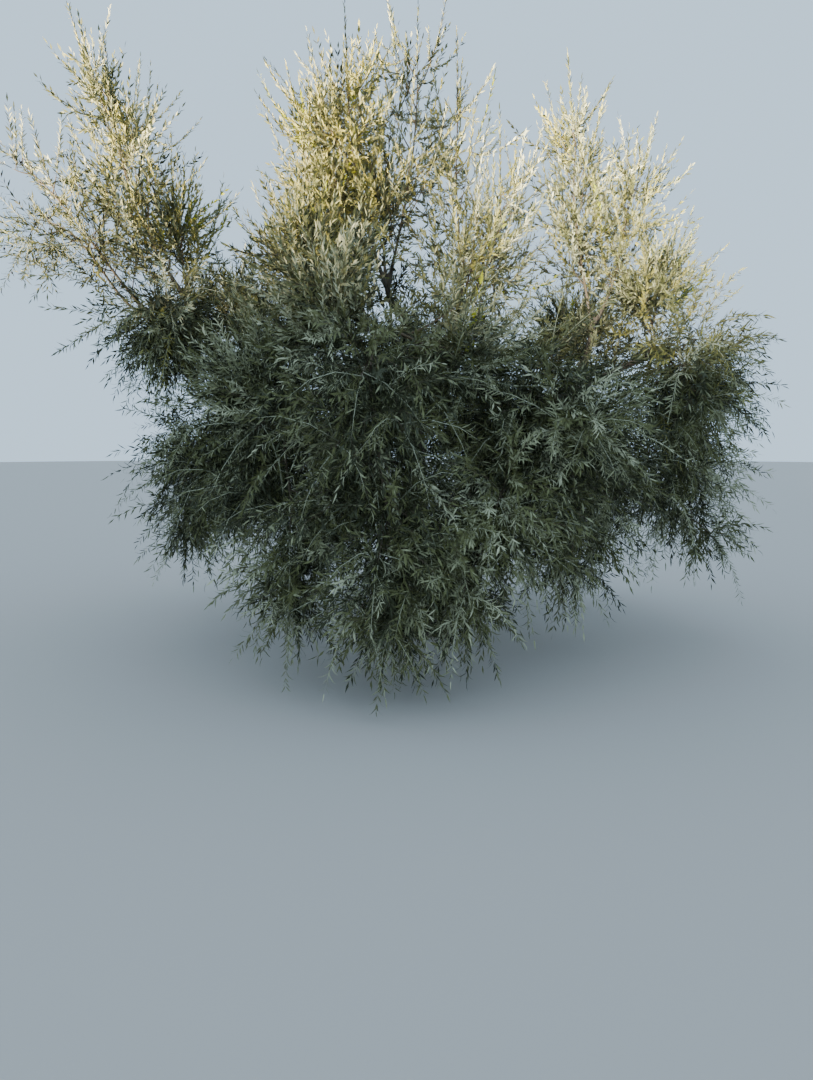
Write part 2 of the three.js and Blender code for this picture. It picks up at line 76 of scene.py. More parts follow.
class Leaf(Enum):
    """The plain colours that leaves are dealt, as the index of their material: the darkest is painted shade, the
    sunlit one painted sunlight, and the pale one the silvery colour painted paler as a painted highlight.
    """

    PAINTED_SHADE = 0
    GREEN = 1
    SILVER = 2
    PALE = 3
    SUNLIT = 4
    YOUNG = 5


class Tone(Enum):
    """How branchlets are coloured near a mass's tip: the share of each leaf colour, in the order of Leaf, where
    shares of the darkest colour are painted shade and shares of the sunlit one painted sunlight.
    """

    # painted shade: the dark leaves of the crown's inside and of a hanging stem's foot
    PAINTED_INNER_SHADE = (0.62, 0.34, 0.04, 0.00, 0.00, 0.00)
    # painted shade for the low skirts
    SHADED = (0.26, 0.34, 0.20, 0.20, 0.00, 0.00)
    BLUISH = (0.12, 0.28, 0.22, 0.37, 0.00, 0.01)
    MIXED = (0.16, 0.30, 0.20, 0.18, 0.13, 0.03)
    SILVERY = (0.10, 0.27, 0.33, 0.10, 0.17, 0.03)
    # mostly painted sunlight, for the tops
    PAINTED_SUNLIGHT = (0.05, 0.19, 0.20, 0.00, 0.46, 0.10)


@dataclass(frozen=True)
class LimbPlan:
    """A limb or bough: its furthest point round the trunk's axis, and the pitch at which it leaves and arrives.

    at is the share of its parent's length where it leaves, and leafy the share of its own from which it bears
    branchlets of its own.
    """

    name: str
    bearing: float
    out: float
    height: float
    start: float
    end: float
    radius: float = 0.034
    tip: float = 0.025
    at: float = 1.0
    leafy: float = 0.3


@dataclass(frozen=True)
class MassPlan:
    """A mass of foliage: its furthest tip, the pitch of its stem's end, and how far its shoots carry.

    sprays is how many each shoot has, where the solids' rule has six, twiglets is how many leafy side twigs a
    branchlet has, and tone is how the mass is coloured, with painted sunlight on the tops and painted shade on the
    skirts.
    """

    name: str
    bearing: float
    out: float
    height: float
    lift: float
    reach: float
    sprays: int
    twiglets: int
    tone: Tone


@dataclass(frozen=True)
class TrunkPlan:
    """The trunk's sizes."""

    fork_height: float = 0.8
    fork_radius: float = 0.205
    waist_radius: float = 0.185
    flare_radius: float = 0.33
    flare_height: float = 0.26
    lean: tuple[float, float] = (0.04, -0.03)
    flutes: int = 5
    flute_depth: float = 0.09
    flute_twist: float = 4.5


TRUNK = TrunkPlan()

LIMBS = (
    LimbPlan("left_limb", 179, 1.62, 2.33, 62, 42, radius=0.084, tip=0.046, leafy=1.0),
    LimbPlan("centre_limb", 100, 0.18, 2.42, 80, 86, radius=0.088, tip=0.050, leafy=0.3),
    LimbPlan("front_limb", 268, 0.96, 2.06, 64, 28, radius=0.074, tip=0.042, leafy=0.2),
    LimbPlan("right_limb", 6, 1.35, 2.08, 60, 48, radius=0.082, tip=0.046),
    LimbPlan("back_limb", 88, 1.10, 2.14, 62, 36, radius=0.074, tip=0.042),
)

BOUGHS = {
    "left_limb": (
        LimbPlan("left_upper_bough", 178, 1.84, 2.70, 55, 74, at=0.98, leafy=0.1),
        LimbPlan("left_outer_bough", 183, 2.08, 2.50, 30, 30, at=0.84, leafy=0.1),
        LimbPlan("left_lower_bough", 196, 1.40, 1.64, 20, 5, at=0.50),
        LimbPlan("left_back_bough", 150, 1.35, 2.05, 35, 35, at=0.66),
    ),
    "centre_limb": (
        LimbPlan("centre_left_bough", 184, 0.60, 2.52, 45, 62, at=0.72, leafy=0.8),
        LimbPlan("centre_top_bough", 170, 0.23, 2.78, 80, 84, at=0.98, leafy=0.8),
        LimbPlan("centre_right_bough", 345, 0.38, 2.56, 50, 66, at=0.80, leafy=0.8),
    ),
    "front_limb": (
        LimbPlan("front_left_bough", 234, 1.20, 1.86, 30, 0, at=0.66),
        LimbPlan("front_top_bough", 262, 1.28, 2.22, 30, 16, at=0.98),
        LimbPlan("front_right_bough", 302, 1.25, 1.86, 30, 4, at=0.78),
    ),
    "right_limb": (
        LimbPlan("right_upper_bough", 4, 1.44, 2.48, 62, 82, at=0.98, leafy=0.0),
        LimbPlan("right_outer_bough", 1, 1.88, 2.23, 32, 25, at=0.82),
        LimbPlan("right_lower_bough", 342, 1.35, 1.60, 18, 0, at=0.55),
        LimbPlan("right_back_bough", 38, 1.45, 2.00, 32, 25, at=0.68),
    ),
    "back_limb": (
        LimbPlan("back_left_bough", 118, 1.30, 2.20, 40, 40, at=0.72),
        LimbPlan("back_right_bough", 60, 1.30, 2.20, 40, 40, at=0.82),
    ),
}

MASSES = {
    "back_limb": (MassPlan("back_dome", 90, 2.05, 2.50, 20, 0.48, 12, 3, Tone.MIXED),),
    "left_upper_bough": (
        MassPlan("left_spire", 180, 2.40, 4.64, 84, 0.43, 7, 3, Tone.SILVERY),
        MassPlan("left_inner_spire", 177, 2.00, 3.66, 80, 0.32, 6, 2, Tone.PAINTED_SUNLIGHT),
    ),
    "left_outer_bough": (
        MassPlan("far_left_arch", 181, 3.40, 4.00, 42, 0.24, 3, 0, Tone.BLUISH),
        MassPlan("far_left_cluster", 182, 3.42, 3.24, 0, 0.28, 5, 2, Tone.PAINTED_SUNLIGHT),
        MassPlan("left_dome", 190, 2.05, 1.95, -60, 0.43, 12, 4, Tone.MIXED),
    ),
    "left_lower_bough": (
        MassPlan("left_skirt", 184, 1.88, 0.44, -86, 0.28, 11, 4, Tone.SHADED),
        MassPlan("left_front_skirt", 214, 1.65, 0.78, -80, 0.42, 15, 4, Tone.SHADED),
    ),
    "left_back_bough": (
        MassPlan("left_back_dome", 152, 2.18, 2.95, 40, 0.48, 11, 3, Tone.MIXED),
        MassPlan("left_back_skirt", 138, 2.05, 0.62, -85, 0.46, 13, 4, Tone.SHADED),
    ),
    "centre_left_bough": (
        MassPlan("centre_left_spire", 180, 0.82, 4.36, 86, 0.34, 9, 3, Tone.PAINTED_SUNLIGHT),
        MassPlan("left_shoulder", 222, 1.32, 3.20, 52, 0.42, 10, 4, Tone.MIXED),
    ),
    "centre_top_bough": (
        MassPlan("centre_spire", 196, 0.56, 4.50, 86, 0.42, 9, 3, Tone.PAINTED_SUNLIGHT),
        MassPlan("high_spire", 285, 0.07, 4.79, 88, 0.40, 4, 1, Tone.SILVERY),
        MassPlan("back_high_spire", 112, 0.76, 4.40, 80, 0.44, 3, 1, Tone.PAINTED_SUNLIGHT),
    ),
    "centre_right_bough": (
        MassPlan("centre_right_spire", 6, 0.36, 4.42, 86, 0.32, 3, 1, Tone.SILVERY),
        MassPlan("right_shoulder", 352, 0.78, 3.80, 78, 0.34, 3, 1, Tone.SILVERY),
        MassPlan("front_shoulder", 302, 1.05, 3.10, 48, 0.45, 4, 2, Tone.SILVERY),
    ),
    "front_left_bough": (
        MassPlan("front_left_curtain", 244, 1.74, 0.13, -85, 0.42, 14, 4, Tone.SHADED),
        MassPlan("front_left_dome", 226, 1.88, 2.05, 20, 0.44, 13, 4, Tone.BLUISH),
    ),
    "front_top_bough": (
        MassPlan("front_dome", 250, 1.78, 2.64, 48, 0.48, 11, 3, Tone.BLUISH),
        MassPlan("front_curtain", 266, 2.00, 0.06, -84, 0.48, 18, 4, Tone.SHADED),
        MassPlan("front_right_dome", 281, 1.72, 2.35, 30, 0.42, 9, 3, Tone.BLUISH),
    ),
    "front_right_bough": (
        MassPlan("front_right_curtain", 279, 1.88, 0.11, -84, 0.48, 18, 4, Tone.BLUISH),
        MassPlan("front_right_arch", 302, 2.20, 1.35, -30, 0.42, 12, 4, Tone.BLUISH),
    ),
    "right_upper_bough": (
        MassPlan("right_spire", 5, 1.30, 4.34, 86, 0.33, 7, 2, Tone.SILVERY),
        MassPlan("right_twin_spire", 3, 1.74, 3.94, 84, 0.33, 6, 2, Tone.SILVERY),
    ),
    "right_outer_bough": (
        MassPlan("right_high_shoulder", 0, 2.14, 3.14, 54, 0.34, 7, 3, Tone.SILVERY),
        MassPlan("right_outer_weep", 359, 2.48, 1.06, -68, 0.30, 10, 4, Tone.MIXED),
        MassPlan("right_dome", 338, 2.25, 1.35, -72, 0.46, 12, 4, Tone.MIXED),
    ),
    "right_lower_bough": (
        MassPlan("right_skirt", 356, 2.25, 0.43, -86, 0.45, 11, 4, Tone.BLUISH),
        MassPlan("right_front_skirt", 316, 1.54, 0.26, -85, 0.45, 14, 4, Tone.SHADED),
    ),
    "right_back_bough": (
        MassPlan("right_back_dome", 36, 2.23, 2.80, 42, 0.48, 11, 3, Tone.MIXED),
        MassPlan("right_back_skirt", 38, 2.20, 0.33, -85, 0.46, 13, 4, Tone.SHADED),
    ),
    "back_left_bough": (
        MassPlan("back_left_spire", 120, 1.35, 3.95, 76, 0.46, 6, 2, Tone.SILVERY),
        MassPlan("back_left_curtain", 109, 2.05, 0.27, -85, 0.48, 16, 4, Tone.BLUISH),
    ),
    "back_right_bough": (
        MassPlan("back_right_spire", 55, 1.38, 3.80, 76, 0.46, 3, 1, Tone.SILVERY),
        MassPlan("back_right_curtain", 75, 2.05, 0.26, -85, 0.48, 16, 4, Tone.BLUISH),
    ),
}


def between(low: float | Array, high: float | Array, share: float | Array) -> float | Array:
    """The value at a share of the way from low to high."""
    return low + (high - low) * share


def unit(vectors: Array) -> Array:
    """The same directions at length one, for one vector or an array of them."""
    return vectors / np.linalg.norm(vectors, axis=-1, keepdims=True)


def square_to(axis: Array, direction: Array) -> Array:
    """The part of a direction that is square to an axis, at length one."""
    return unit(direction - np.sum(direction * axis, axis=-1, keepdims=True) * axis)


def around(axis: Array, side: Array, angle: float | Array) -> Array:
    """The direction at an angle round an axis, from side towards the direction square to both."""
    return side * np.cos(angle) + np.cross(axis, side) * np.sin(angle)


def opened(axis: Array, outward: Array, angle: float | Array) -> Array:
    """The direction that opens by an angle from an axis towards an outward direction square to it."""
    return axis * np.cos(angle) + outward * np.sin(angle)


def chance(*keys: int) -> float:
    """A number from 0 to 1 that depends only on the keys, so that every run grows the same tree."""
    mask = 0xFFFFFFFF
    value = 0x9E3779B9
    for key in keys:
        value = ((value ^ (key + 0x7F4A7C15)) * 0x85EBCA6B) & mask
        value ^= value >> 13
        value = (value * 0xC2B2AE35) & mask
        value ^= value >> 16
    return value / 2**32


def placed(plan: LimbPlan | MassPlan) -> Array:
    """The point that a plan gives by its bearing, its distance out and its height."""
    bearing = math.radians(plan.bearing)
    return np.array([plan.out * math.cos(bearing), plan.out * math.sin(bearing), plan.height])


def pitched(direction: Array, pitch: float) -> Array:
    """The direction at a pitch in degrees, over the level part of another direction."""
    level = unit(np.array([direction[0], direction[1], 0.0]))
    return level * math.cos(math.radians(pitch)) + UP * math.sin(math.radians(pitch))


class Curve:
    """A Bezier curve that is walked by its length."""

    DIVISIONS = 200

    def __init__(self, *controls: Array) -> None:
        """Measures the curve.

        Args:
            controls: its control points, from three for a simple bow.
        """
        self.controls = np.array(controls)
        self.slopes = np.diff(self.controls, axis=0)
        self.steps = np.linspace(0.0, 1.0, self.DIVISIONS + 1)
        gaps = np.linalg.norm(np.diff(self.points(self.steps), axis=0), axis=1)
        self.lengths = np.concatenate(([0.0], np.cumsum(gaps)))
        self.length = float(self.lengths[-1])

    @staticmethod
    def _blend(controls: Array, steps: Array) -> Array:
        """The points of the Bezier curve with the control points given, at the curve's own steps from 0 to 1."""
        order = len(controls) - 1
        weights = [math.comb(order, i) * steps**i * (1 - steps) ** (order - i) for i in range(order + 1)]
        return np.stack(weights, axis=-1) @ controls

    def points(self, steps: Array) -> Array:
        """The points at the curve's own steps from 0 to 1."""
        return self._blend(self.controls, np.asarray(steps, dtype=float))

    def _step(self, shares: float | Array) -> Array:
        """The curve's own steps at shares of its length."""
        return np.interp(np.asarray(shares) * self.length, self.lengths, self.steps)

    def at(self, shares: float | Array) -> Array:
        """The points at shares of the curve's length."""
        return self._blend(self.controls, self._step(shares))

    def tangents(self, shares: float | Array) -> Array:
        """The directions of the curve at shares of its length."""
        return unit(self._blend(self.slopes, self._step(shares)))


def bend(start: Array, leave: Array, end: Array, arrive: Array) -> Curve:
    """A curve between two points that leaves and arrives in the directions given."""
    leaving, arriving = 0.36, 0.42
    span = float(np.linalg.norm(end - start))
    return Curve(start, start + leave * leaving * span, end - arrive * arriving * span, end)


@dataclass
class Limb:
    """A limb, bough or trunk as a curve with a radius."""

    name: str
    group: str
    curve: Curve
    steps: int
    radius_at: Callable[[Array], Array]
    leafy: float = 1.0


@dataclass
class Stem:
    """The stem of a mass of foliage, and what its shoots need to know of it."""

    plan: MassPlan
    seed: int
    limb: str
    tip: Array
    arrive: Array
    curve: Curve
    shoots: int
    upright: float

    STEPS = 5

    def point(self, share: float) -> Array:
        """The point at a share of the stem as its solid has it, which runs straight from ring to ring."""
        rings = self.curve.at(np.linspace(0.0, 1.0, self.STEPS + 1))
        ring = min(int(share * self.STEPS), self.STEPS - 1)
        return between(rings[ring], rings[ring + 1], share * self.STEPS - ring)


@dataclass
class Skeleton:
    """The trunk, limbs, boughs and stems, worked out as in the solids."""

    limb_spring: float = 0.93
    limb_offset: float = 0.095
    taper: float = 0.8
    stem_offset: float = 0.0135
    stem_splay: float = 0.35
    last_reach: float = 0.75
    spray_length: float = 0.6
    shoot_spacing: float = 0.118
    fewest_shoots: int = 10
    limb_steps: int = 6
    bough_steps: int = 4
    wood: list[Limb] = field(default_factory=list)
    stems: list[Stem] = field(default_factory=list)

    def __post_init__(self) -> None:
        """Grows the wood and then the stems, in the order that gives each stem its seed."""
        trunk = self._trunk()
        limbs = [self._limb(trunk, plan) for plan in LIMBS]
        boughs = [self._bough(limb, plan) for limb in limbs for plan in BOUGHS[limb.name]]
        self.wood = [trunk, *limbs, *boughs]
        for limb in self.wood:
            self._add_stems(limb)

    @staticmethod
    def _trunk() -> Limb:
        """The trunk from the ground to its head."""
        head = np.array([*TRUNK.lean, TRUNK.fork_height])
        curve = Curve(np.zeros(3), UP * TRUNK.fork_height / 2, head)

        def radius_at(share: Array) -> Array:
            """The trunk's radius between its flutes."""
            flare = np.maximum(0.0, 1.0 - share * TRUNK.fork_height / TRUNK.flare_height) ** 2
            foot = (TRUNK.flare_radius - TRUNK.waist_radius) * flare
            return TRUNK.waist_radius + foot + (TRUNK.fork_radius - TRUNK.waist_radius) * share**3

        return Limb("trunk", "trunk", curve, 6, radius_at)

    def _tapering(self, plan: LimbPlan) -> Callable[[Array], Array]:
        """How a limb's radius falls from its foot to its tip."""
        return lambda share: between(plan.radius, plan.tip, share**self.taper)

    def _limb(self, trunk: Limb, plan: LimbPlan) -> Limb:
        """A limb that springs from the trunk's head."""
        start = trunk.curve.at(self.limb_spring) + pitched(placed(plan), 0) * self.limb_offset
        curve = self._limb_curve(start, plan)
        return Limb(plan.name, plan.name, curve, self.limb_steps, self._tapering(plan), plan.leafy)

    def _bough(self, limb: Limb, plan: LimbPlan) -> Limb:
        """A bough that leaves a limb."""
        curve = self._limb_curve(limb.curve.at(plan.at), plan)
        return Limb(plan.name, limb.name, curve, self.bough_steps, self._tapering(plan), plan.leafy)

    @staticmethod
    def _limb_curve(start: Array, plan: LimbPlan) -> Curve:
        """The curve of a limb from where it starts to its plan's point."""
        tip = placed(plan)
        heading = tip - start
        return bend(start, pitched(heading, plan.start), tip, pitched(heading, plan.end))

    @staticmethod
    def _shared_out(aims: Sequence[float]) -> list[float]:
        """Angles shared out evenly round a bough's end, in the order of the stems' aims."""
        order = sorted(range(len(aims)), key=lambda i: aims[i])
        step = 2 * math.pi / len(aims)
        first = sum(aims[i] - rank * step for rank, i in enumerate(order)) / len(aims)
        angles = [0.0] * len(aims)
        for rank, i in enumerate(order):
            angles[i] = first + rank * step
        return angles

    def _add_stems(self, bough: Limb) -> None:
        """Adds the stems that grow on from the end of a limb or bough."""
        plans = MASSES.get(bough.name, ())
        if not plans:
            return
        end = bough.curve.at(1.0)
        axis = bough.curve.tangents(1.0)
        side = unit(np.cross(UP, axis))
        square = np.cross(axis, side)
        tips = [placed(plan) for plan in plans]
        arrivals = [pitched(tip, plan.lift) for tip, plan in zip(tips, plans)]
        stops = [tip - arrive * self.last_reach * self.spray_length for tip, arrive in zip(tips, arrivals)]
        aims = [math.atan2((stop - end) @ square, (stop - end) @ side) for stop in stops]
        for plan, tip, arrive, stop, angle in zip(plans, tips, arrivals, stops, self._shared_out(aims)):
            off = around(axis, side, angle)
            leave = unit(axis + off * self.stem_splay)
            curve = bend(end + off * self.stem_offset, leave, stop, arrive)
            shoots = max(self.fewest_shoots, round(curve.length / self.shoot_spacing))
            upright = math.sin(math.radians(plan.lift))
            self.stems.append(Stem(plan, len(self.stems), bough.group, tip, arrive, curve, shoots, upright))


class Paths:
    """Straight stretches of limbs or stems, to measure distances from."""

    def __init__(
        self, curves: Sequence[Curve], steps: Sequence[int], radii: Sequence[Callable[[Array], Array]]
    ) -> None:
        """Cuts each curve into stretches.

        Args:
            curves: the limbs' or stems' curves.
            steps: how many stretches each curve takes.
            radii: the radius of each limb or stem at shares of its length.
        """
        shares = [np.linspace(0.0, 1.0, count + 1) for count in steps]
        points = [curve.at(share) for curve, share in zip(curves, shares)]
        widths = [np.broadcast_to(radius(share), share.shape) for radius, share in zip(radii, shares)]
        self.starts = np.concatenate([rows[:-1] for rows in points])
        self.spans = np.concatenate([np.diff(rows, axis=0) for rows in points])
        self.near = np.concatenate([rows[:-1] for rows in widths])
        self.far = np.concatenate([rows[1:] for rows in widths])
        self.squares = np.sum(self.spans**2, axis=1)
        self.firsts = np.concatenate(([0], np.cumsum(steps)[:-1]))

    def distances(self, points: Array) -> Array:
        """Distances from points to the surface of each limb or stem, one row for each point."""
        offsets = points[:, None, :] - self.starts
        shares = np.clip(np.sum(offsets * self.spans, axis=2) / self.squares, 0.0, 1.0)
        gaps = np.linalg.norm(offsets - shares[:, :, None] * self.spans, axis=2)
        gaps -= between(self.near, self.far, shares)
        return np.minimum.reduceat(gaps, self.firsts, axis=1)


@dataclass
class Shoot:
    """A shoot of a stem."""

    k: int
    share: float
    size: float
    across: Array
    curve: Curve


@dataclass
class Spray:
    """The room that one branchlet fills: from its root to its tip, broadside to facing."""

    root: Array
    tip: Array
    facing: Array
    width: float
    share: float
    outer: bool


@dataclass
class Growth:
    """The rule that places shoots along stems and sprays along shoots, as in the solids.

    The solids make every fourth shoot and every second spray of a shoot. Here all shoots grow, with as many sprays
    as the mass's plan has, and they may mingle with the next mass's, as twigs do.
    """

    skeleton: Skeleton
    every_shoot: int = 4
    first_shoot: float = 0.1
    upright_open: float = 40.0
    level_open: float = 62.0
    open_variation: float = 14.0
    shoot_rise: float = 0.9
    outer_share: float = 0.55
    shoot_lengths: tuple[float, float] = (0.8, 1.15)
    sprays: int = 6
    every_spray: int = 2
    first_spray: float = 0.2
    last_spray: float = 0.92
    spray_length: float = 0.6
    spray_lengths: tuple[float, float] = (0.8, 1.05)
    outer_spray: float = 0.8
    spray_width: float = 0.35
    tip_width: float = 0.2
    spray_open: tuple[float, float] = (48.0, 75.0)
    spray_rise: float = 0.3
    belly: float = 0.42
    bough_spacing: float = 0.025
    bough_open: tuple[float, float] = (40.0, 75.0)
    bough_sprays: tuple[float, float] = (0.34, 0.5)
    bough_width: float = 0.8
    bough_end: float = 0.98
    bough_depth: float = 0.8
    bough_share: float = 0.3
    beyond: float = 0.05
    ground_clearance: float = 0.025
    limb_clearance: float = 0.024
    mingling: float = 0.3
    test_spacing: float = 0.05
    turns: tuple[float, ...] = (0, 50, -50, 100, -100, 150, -150)
    sizes: tuple[float, ...] = (1.0, 0.7)
    upright_fullness: tuple[float, float] = (1.5, 0.8)

    def __post_init__(self) -> None:
        """Lays out the stretches that room is measured from."""
        wood, stems = self.skeleton.wood, self.skeleton.stems
        self.wood_paths = Paths(
            [limb.curve for limb in wood], [2 * limb.steps for limb in wood], [limb.radius_at for limb in wood]
        )
        self.stem_paths = Paths(
            [stem.curve for stem in stems], [Stem.STEPS] * len(stems), [np.zeros_like] * len(stems)
        )

    def _has_room(self, points: Array, stem: Stem) -> bool:
        """True where points stay above the ground, clear of the wood and about in their own mass's space."""
        if not self._in_reach(points) or self.wood_paths.distances(points).min() < self.limb_clearance:
            return False
        gaps = self.stem_paths.distances(points)
        own = gaps[:, stem.seed].copy()
        gaps[:, stem.seed] = np.inf
        return bool(np.all(gaps.min(axis=1) > own - self.mingling))

    def _in_reach(self, points: Array) -> bool:
        """True where points stay above the ground and hardly leave the box round the solids."""
        low, high = np.array(CAD_BOX[0]) - self.beyond, np.array(CAD_BOX[1]) + self.beyond
        low[2] = self.ground_clearance
        return bool(np.all(points > low) and np.all(points < high))

    @staticmethod
    def _turn(number: int, every: int) -> float:
        """The angle round its parent of a shoot or spray: golden from the one `every` before it."""
        return number // every * GOLDEN_ANGLE + number % every * 2 * math.pi / every

    def _shoot(self, stem: Stem, k: int, turned: float) -> Shoot:
        """Shoot number k of a stem, turned on by some degrees."""
        share = between(self.first_shoot, 1.0, (k + 0.5) / stem.shoots)
        root = stem.point(share)
        along = stem.curve.tangents(share)
        side = square_to(along, np.cross(UP, placed(stem.plan)))
        turn = self._turn(k, self.every_shoot) + 2 * math.pi * chance(stem.seed) + math.radians(turned)
        outward = around(along, side, turn)
        spread = between(self.level_open, self.upright_open, max(0.0, stem.upright))
        angle = math.radians(spread + self.open_variation * (chance(stem.seed, k, 2) - 0.5))
        leave = opened(along, outward, angle)
        arrive = unit(leave + UP * self.shoot_rise * stem.upright)
        fullness = between(1.0, self.outer_share, share**2) * between(*self.shoot_lengths, chance(stem.seed, k, 3))
        middle = root + leave * stem.plan.reach * fullness / 2
        tip = middle + arrive * stem.plan.reach * fullness / 2
        across = unit(np.cross(along, outward))
        return Shoot(k, share, between(1.0, self.outer_spray, share**2), across, Curve(root, middle, tip))

    def _spray(self, stem: Stem, shoot: Shoot, m: int, turned: float, shrunk: float) -> Spray:
        """Spray number m of a shoot, counted down from the one that ends it, turned on and shrunk."""
        size = shoot.size * shrunk
        ends = m == 0
        place = m / self.sprays if m < self.sprays else (m - self.sprays + 0.5) / self.sprays
        share = 1.0 if ends else between(self.last_spray, self.first_spray, place)
        root = shoot.curve.at(share)
        along = shoot.curve.tangents(share)
        turn = self._turn(m, self.every_spray) + 2 * math.pi * chance(stem.seed, shoot.k, 4) + math.radians(turned)
        outward = around(along, square_to(along, shoot.across), turn)
        angle = 0.0 if ends else between(*self.spray_open, chance(stem.seed, shoot.k, m, 5))
        heading = unit(opened(along, outward, math.radians(angle)) + UP * self.spray_rise * stem.upright)
        length = size * self.spray_length * between(*self.spray_lengths, chance(stem.seed, shoot.k, m, 6))
        facing = unit(np.cross(outward, heading))
        width = size * (self.tip_width if ends else self.spray_width)
        return Spray(root, root + heading * length, facing, width, shoot.share, m % self.sprays < 2)

    def _last_spray(self, stem: Stem) -> Spray:
        """The spray that ends a stem, broadside to the viewer."""
        facing = square_to(stem.arrive, np.array([0.0, 1.0, 0.0]))
        return Spray(stem.curve.at(1.0), stem.tip, facing, self.tip_width, 1.0, True)

    def _shoot_points(self, shoot: Shoot) -> Array:
        """The places on a shoot that are tested for room."""
        return shoot.curve.points(np.linspace(0.0, 1.0, math.ceil(shoot.curve.length / self.test_spacing) + 1))

    def _spray_points(self, spray: Spray) -> Array:
        """The places on a spray that are tested for room: rows across it from its root to its tip."""
        along = spray.tip - spray.root
        side = unit(np.cross(spray.facing, along))
        shares = np.linspace(0.0, 1.0, math.ceil(np.linalg.norm(along) / self.test_spacing) + 1)
        fullness = np.minimum(shares / self.belly, (1 - shares) / (1 - self.belly)) * spray.width
        across = fullness[:, None] * np.array([-0.5, 0.0, 0.5])
        points = spray.root + shares[:, None, None] * along + across[:, :, None] * side
        return points.reshape(-1, 3)

    def grow(self, stem: Stem) -> tuple[list[Shoot], list[Spray]]:
        """Grows a stem's shoots and sprays, each at the first turn and size that has room.

        Args:
            stem: the stem of the mass.

        Returns:
            The shoots and the sprays that fit.
        """
        shoots: list[Shoot] = []
        sprays = [self._last_spray(stem)]
        for k in range(stem.shoots):
            shoot = next(self._shoots_with_room(stem, k), None)
            if shoot is None:
                continue
            shoots.append(shoot)
            for m in range(self._spray_count(stem, shoot)):
                spray = next(self._sprays_with_room(stem, shoot, m), None)
                if spray is not None:
                    sprays.append(spray)
        return shoots, sprays

    def _spray_count(self, stem: Stem, shoot: Shoot) -> int:
        """How many sprays a shoot bears: on a stem that stands up, more near its foot than near its tip."""
        fullness = between(1.0, between(*self.upright_fullness, shoot.share), max(0.0, stem.upright))
        return round(stem.plan.sprays * fullness)

    def clothe(self, limb: Limb, seed: int) -> list[Spray]:
        """Grows short sprays straight out of the outer part of a limb or bough.

        Args:
            limb: the limb that bears them.
            seed: the limb's own number.

        Returns:
            The sprays that fit.
        """
        sprays = []
        length = limb.curve.length * (1 - limb.leafy)
        width = self.spray_width * self.bough_width
        for number in range(round(length / self.bough_spacing)):
            share = between(limb.leafy, self.bough_end, chance(seed, number, 7))
            along = limb.curve.tangents(share)
            outward = around(along, square_to(along, np.cross(UP, along)), number * GOLDEN_ANGLE)
            angle = math.radians(between(*self.bough_open, chance(seed, number, 8)))
            heading = opened(along, outward, angle)
            reach = between(*self.bough_sprays, chance(seed, number, 9))
            depth = float(limb.radius_at(np.array(share))) * self.bough_depth
            root = limb.curve.at(share) + outward * depth
            facing = unit(np.cross(outward, heading))
            spray = Spray(root, root + heading * reach, facing, width, self.bough_share, False)
            rows = self._spray_points(spray).reshape(-1, 3, 3)
            reaching, clear = rows[1:].reshape(-1, 3), rows[2:].reshape(-1, 3)  # the first rows lie by the limb
            if self._in_reach(reaching) and self.wood_paths.distances(clear).min() > self.limb_clearance:
                sprays.append(spray)
        return sprays

    def _shoots_with_room(self, stem: Stem, k: int) -> Iterator[Shoot]:
        """The turns of shoot number k that have room."""
        for turned in self.turns:
            shoot = self._shoot(stem, k, turned)
            if self._has_room(self._shoot_points(shoot), stem):
                yield shoot

    def _sprays_with_room(self, stem: Stem, shoot: Shoot, m: int) -> Iterator[Spray]:
        """The sizes and turns of spray number m that have room."""
        for shrunk in self.sizes:
            for turned in self.turns:
                spray = self._spray(stem, shoot, m, turned, shrunk)
                if self._has_room(self._spray_points(spray), stem):
                    yield spray


@dataclass
class Parts:
    """Corners, triangles and finishes of many small things, gathered before they become one mesh."""

    corners: list[Array] = field(default_factory=list)
    faces: list[Array] = field(default_factory=list)
    finishes: list[Array] = field(default_factory=list)
    count: int = 0

    def add(self, corners: Array, faces: Array, finishes: Array | int = 0) -> None:
        """Adds copies of one shape.

        Args:
            corners: the copies' corners, as an array of copies by corners by 3.
            faces: the triangles of one copy, as rows of three of its corners.
            finishes: the index of each copy's finish, or of the finish of them all.
        """
        copies, size = corners.shape[:2]
        starts = self.count + size * np.arange(copies)
        self.corners.append(corners.reshape(-1, 3))
        self.faces.append((starts[:, None, None] + faces[None, :, :]).reshape(-1, 3))
        self.finishes.append(np.repeat(np.broadcast_to(finishes, (copies,)), len(faces)))
        self.count += copies * size

    def piece(self, name: str, finishes: Sequence[bpy.types.Material]) -> bpy.types.Object:
        """Makes the mesh and its object.

        Args:
            name: the object's name.
            finishes: the materials, in the order of the indices.

        Returns:
            The object, at the origin.
        """
        corners = np.concatenate(self.corners)
        faces = np.concatenate(self.faces).astype(np.int32)
        mesh = bpy.data.meshes.new(name)
        mesh.vertices.add(len(corners))
        mesh.vertices.foreach_set("co", corners.astype(np.float32).ravel())
        mesh.loops.add(faces.size)
        mesh.loops.foreach_set("vertex_index", faces.ravel())
        mesh.polygons.add(len(faces))
        mesh.polygons.foreach_set("loop_start", np.arange(0, faces.size, 3, dtype=np.int32))
        mesh.polygons.foreach_set("material_index", np.concatenate(self.finishes).astype(np.int32))
        for finish in finishes:
            mesh.materials.append(finish)
        mesh.update(calc_edges=True)
        mesh.shade_smooth()
        piece = bpy.data.objects.new(name, mesh)
        bpy.context.scene.collection.objects.link(piece)
        return piece


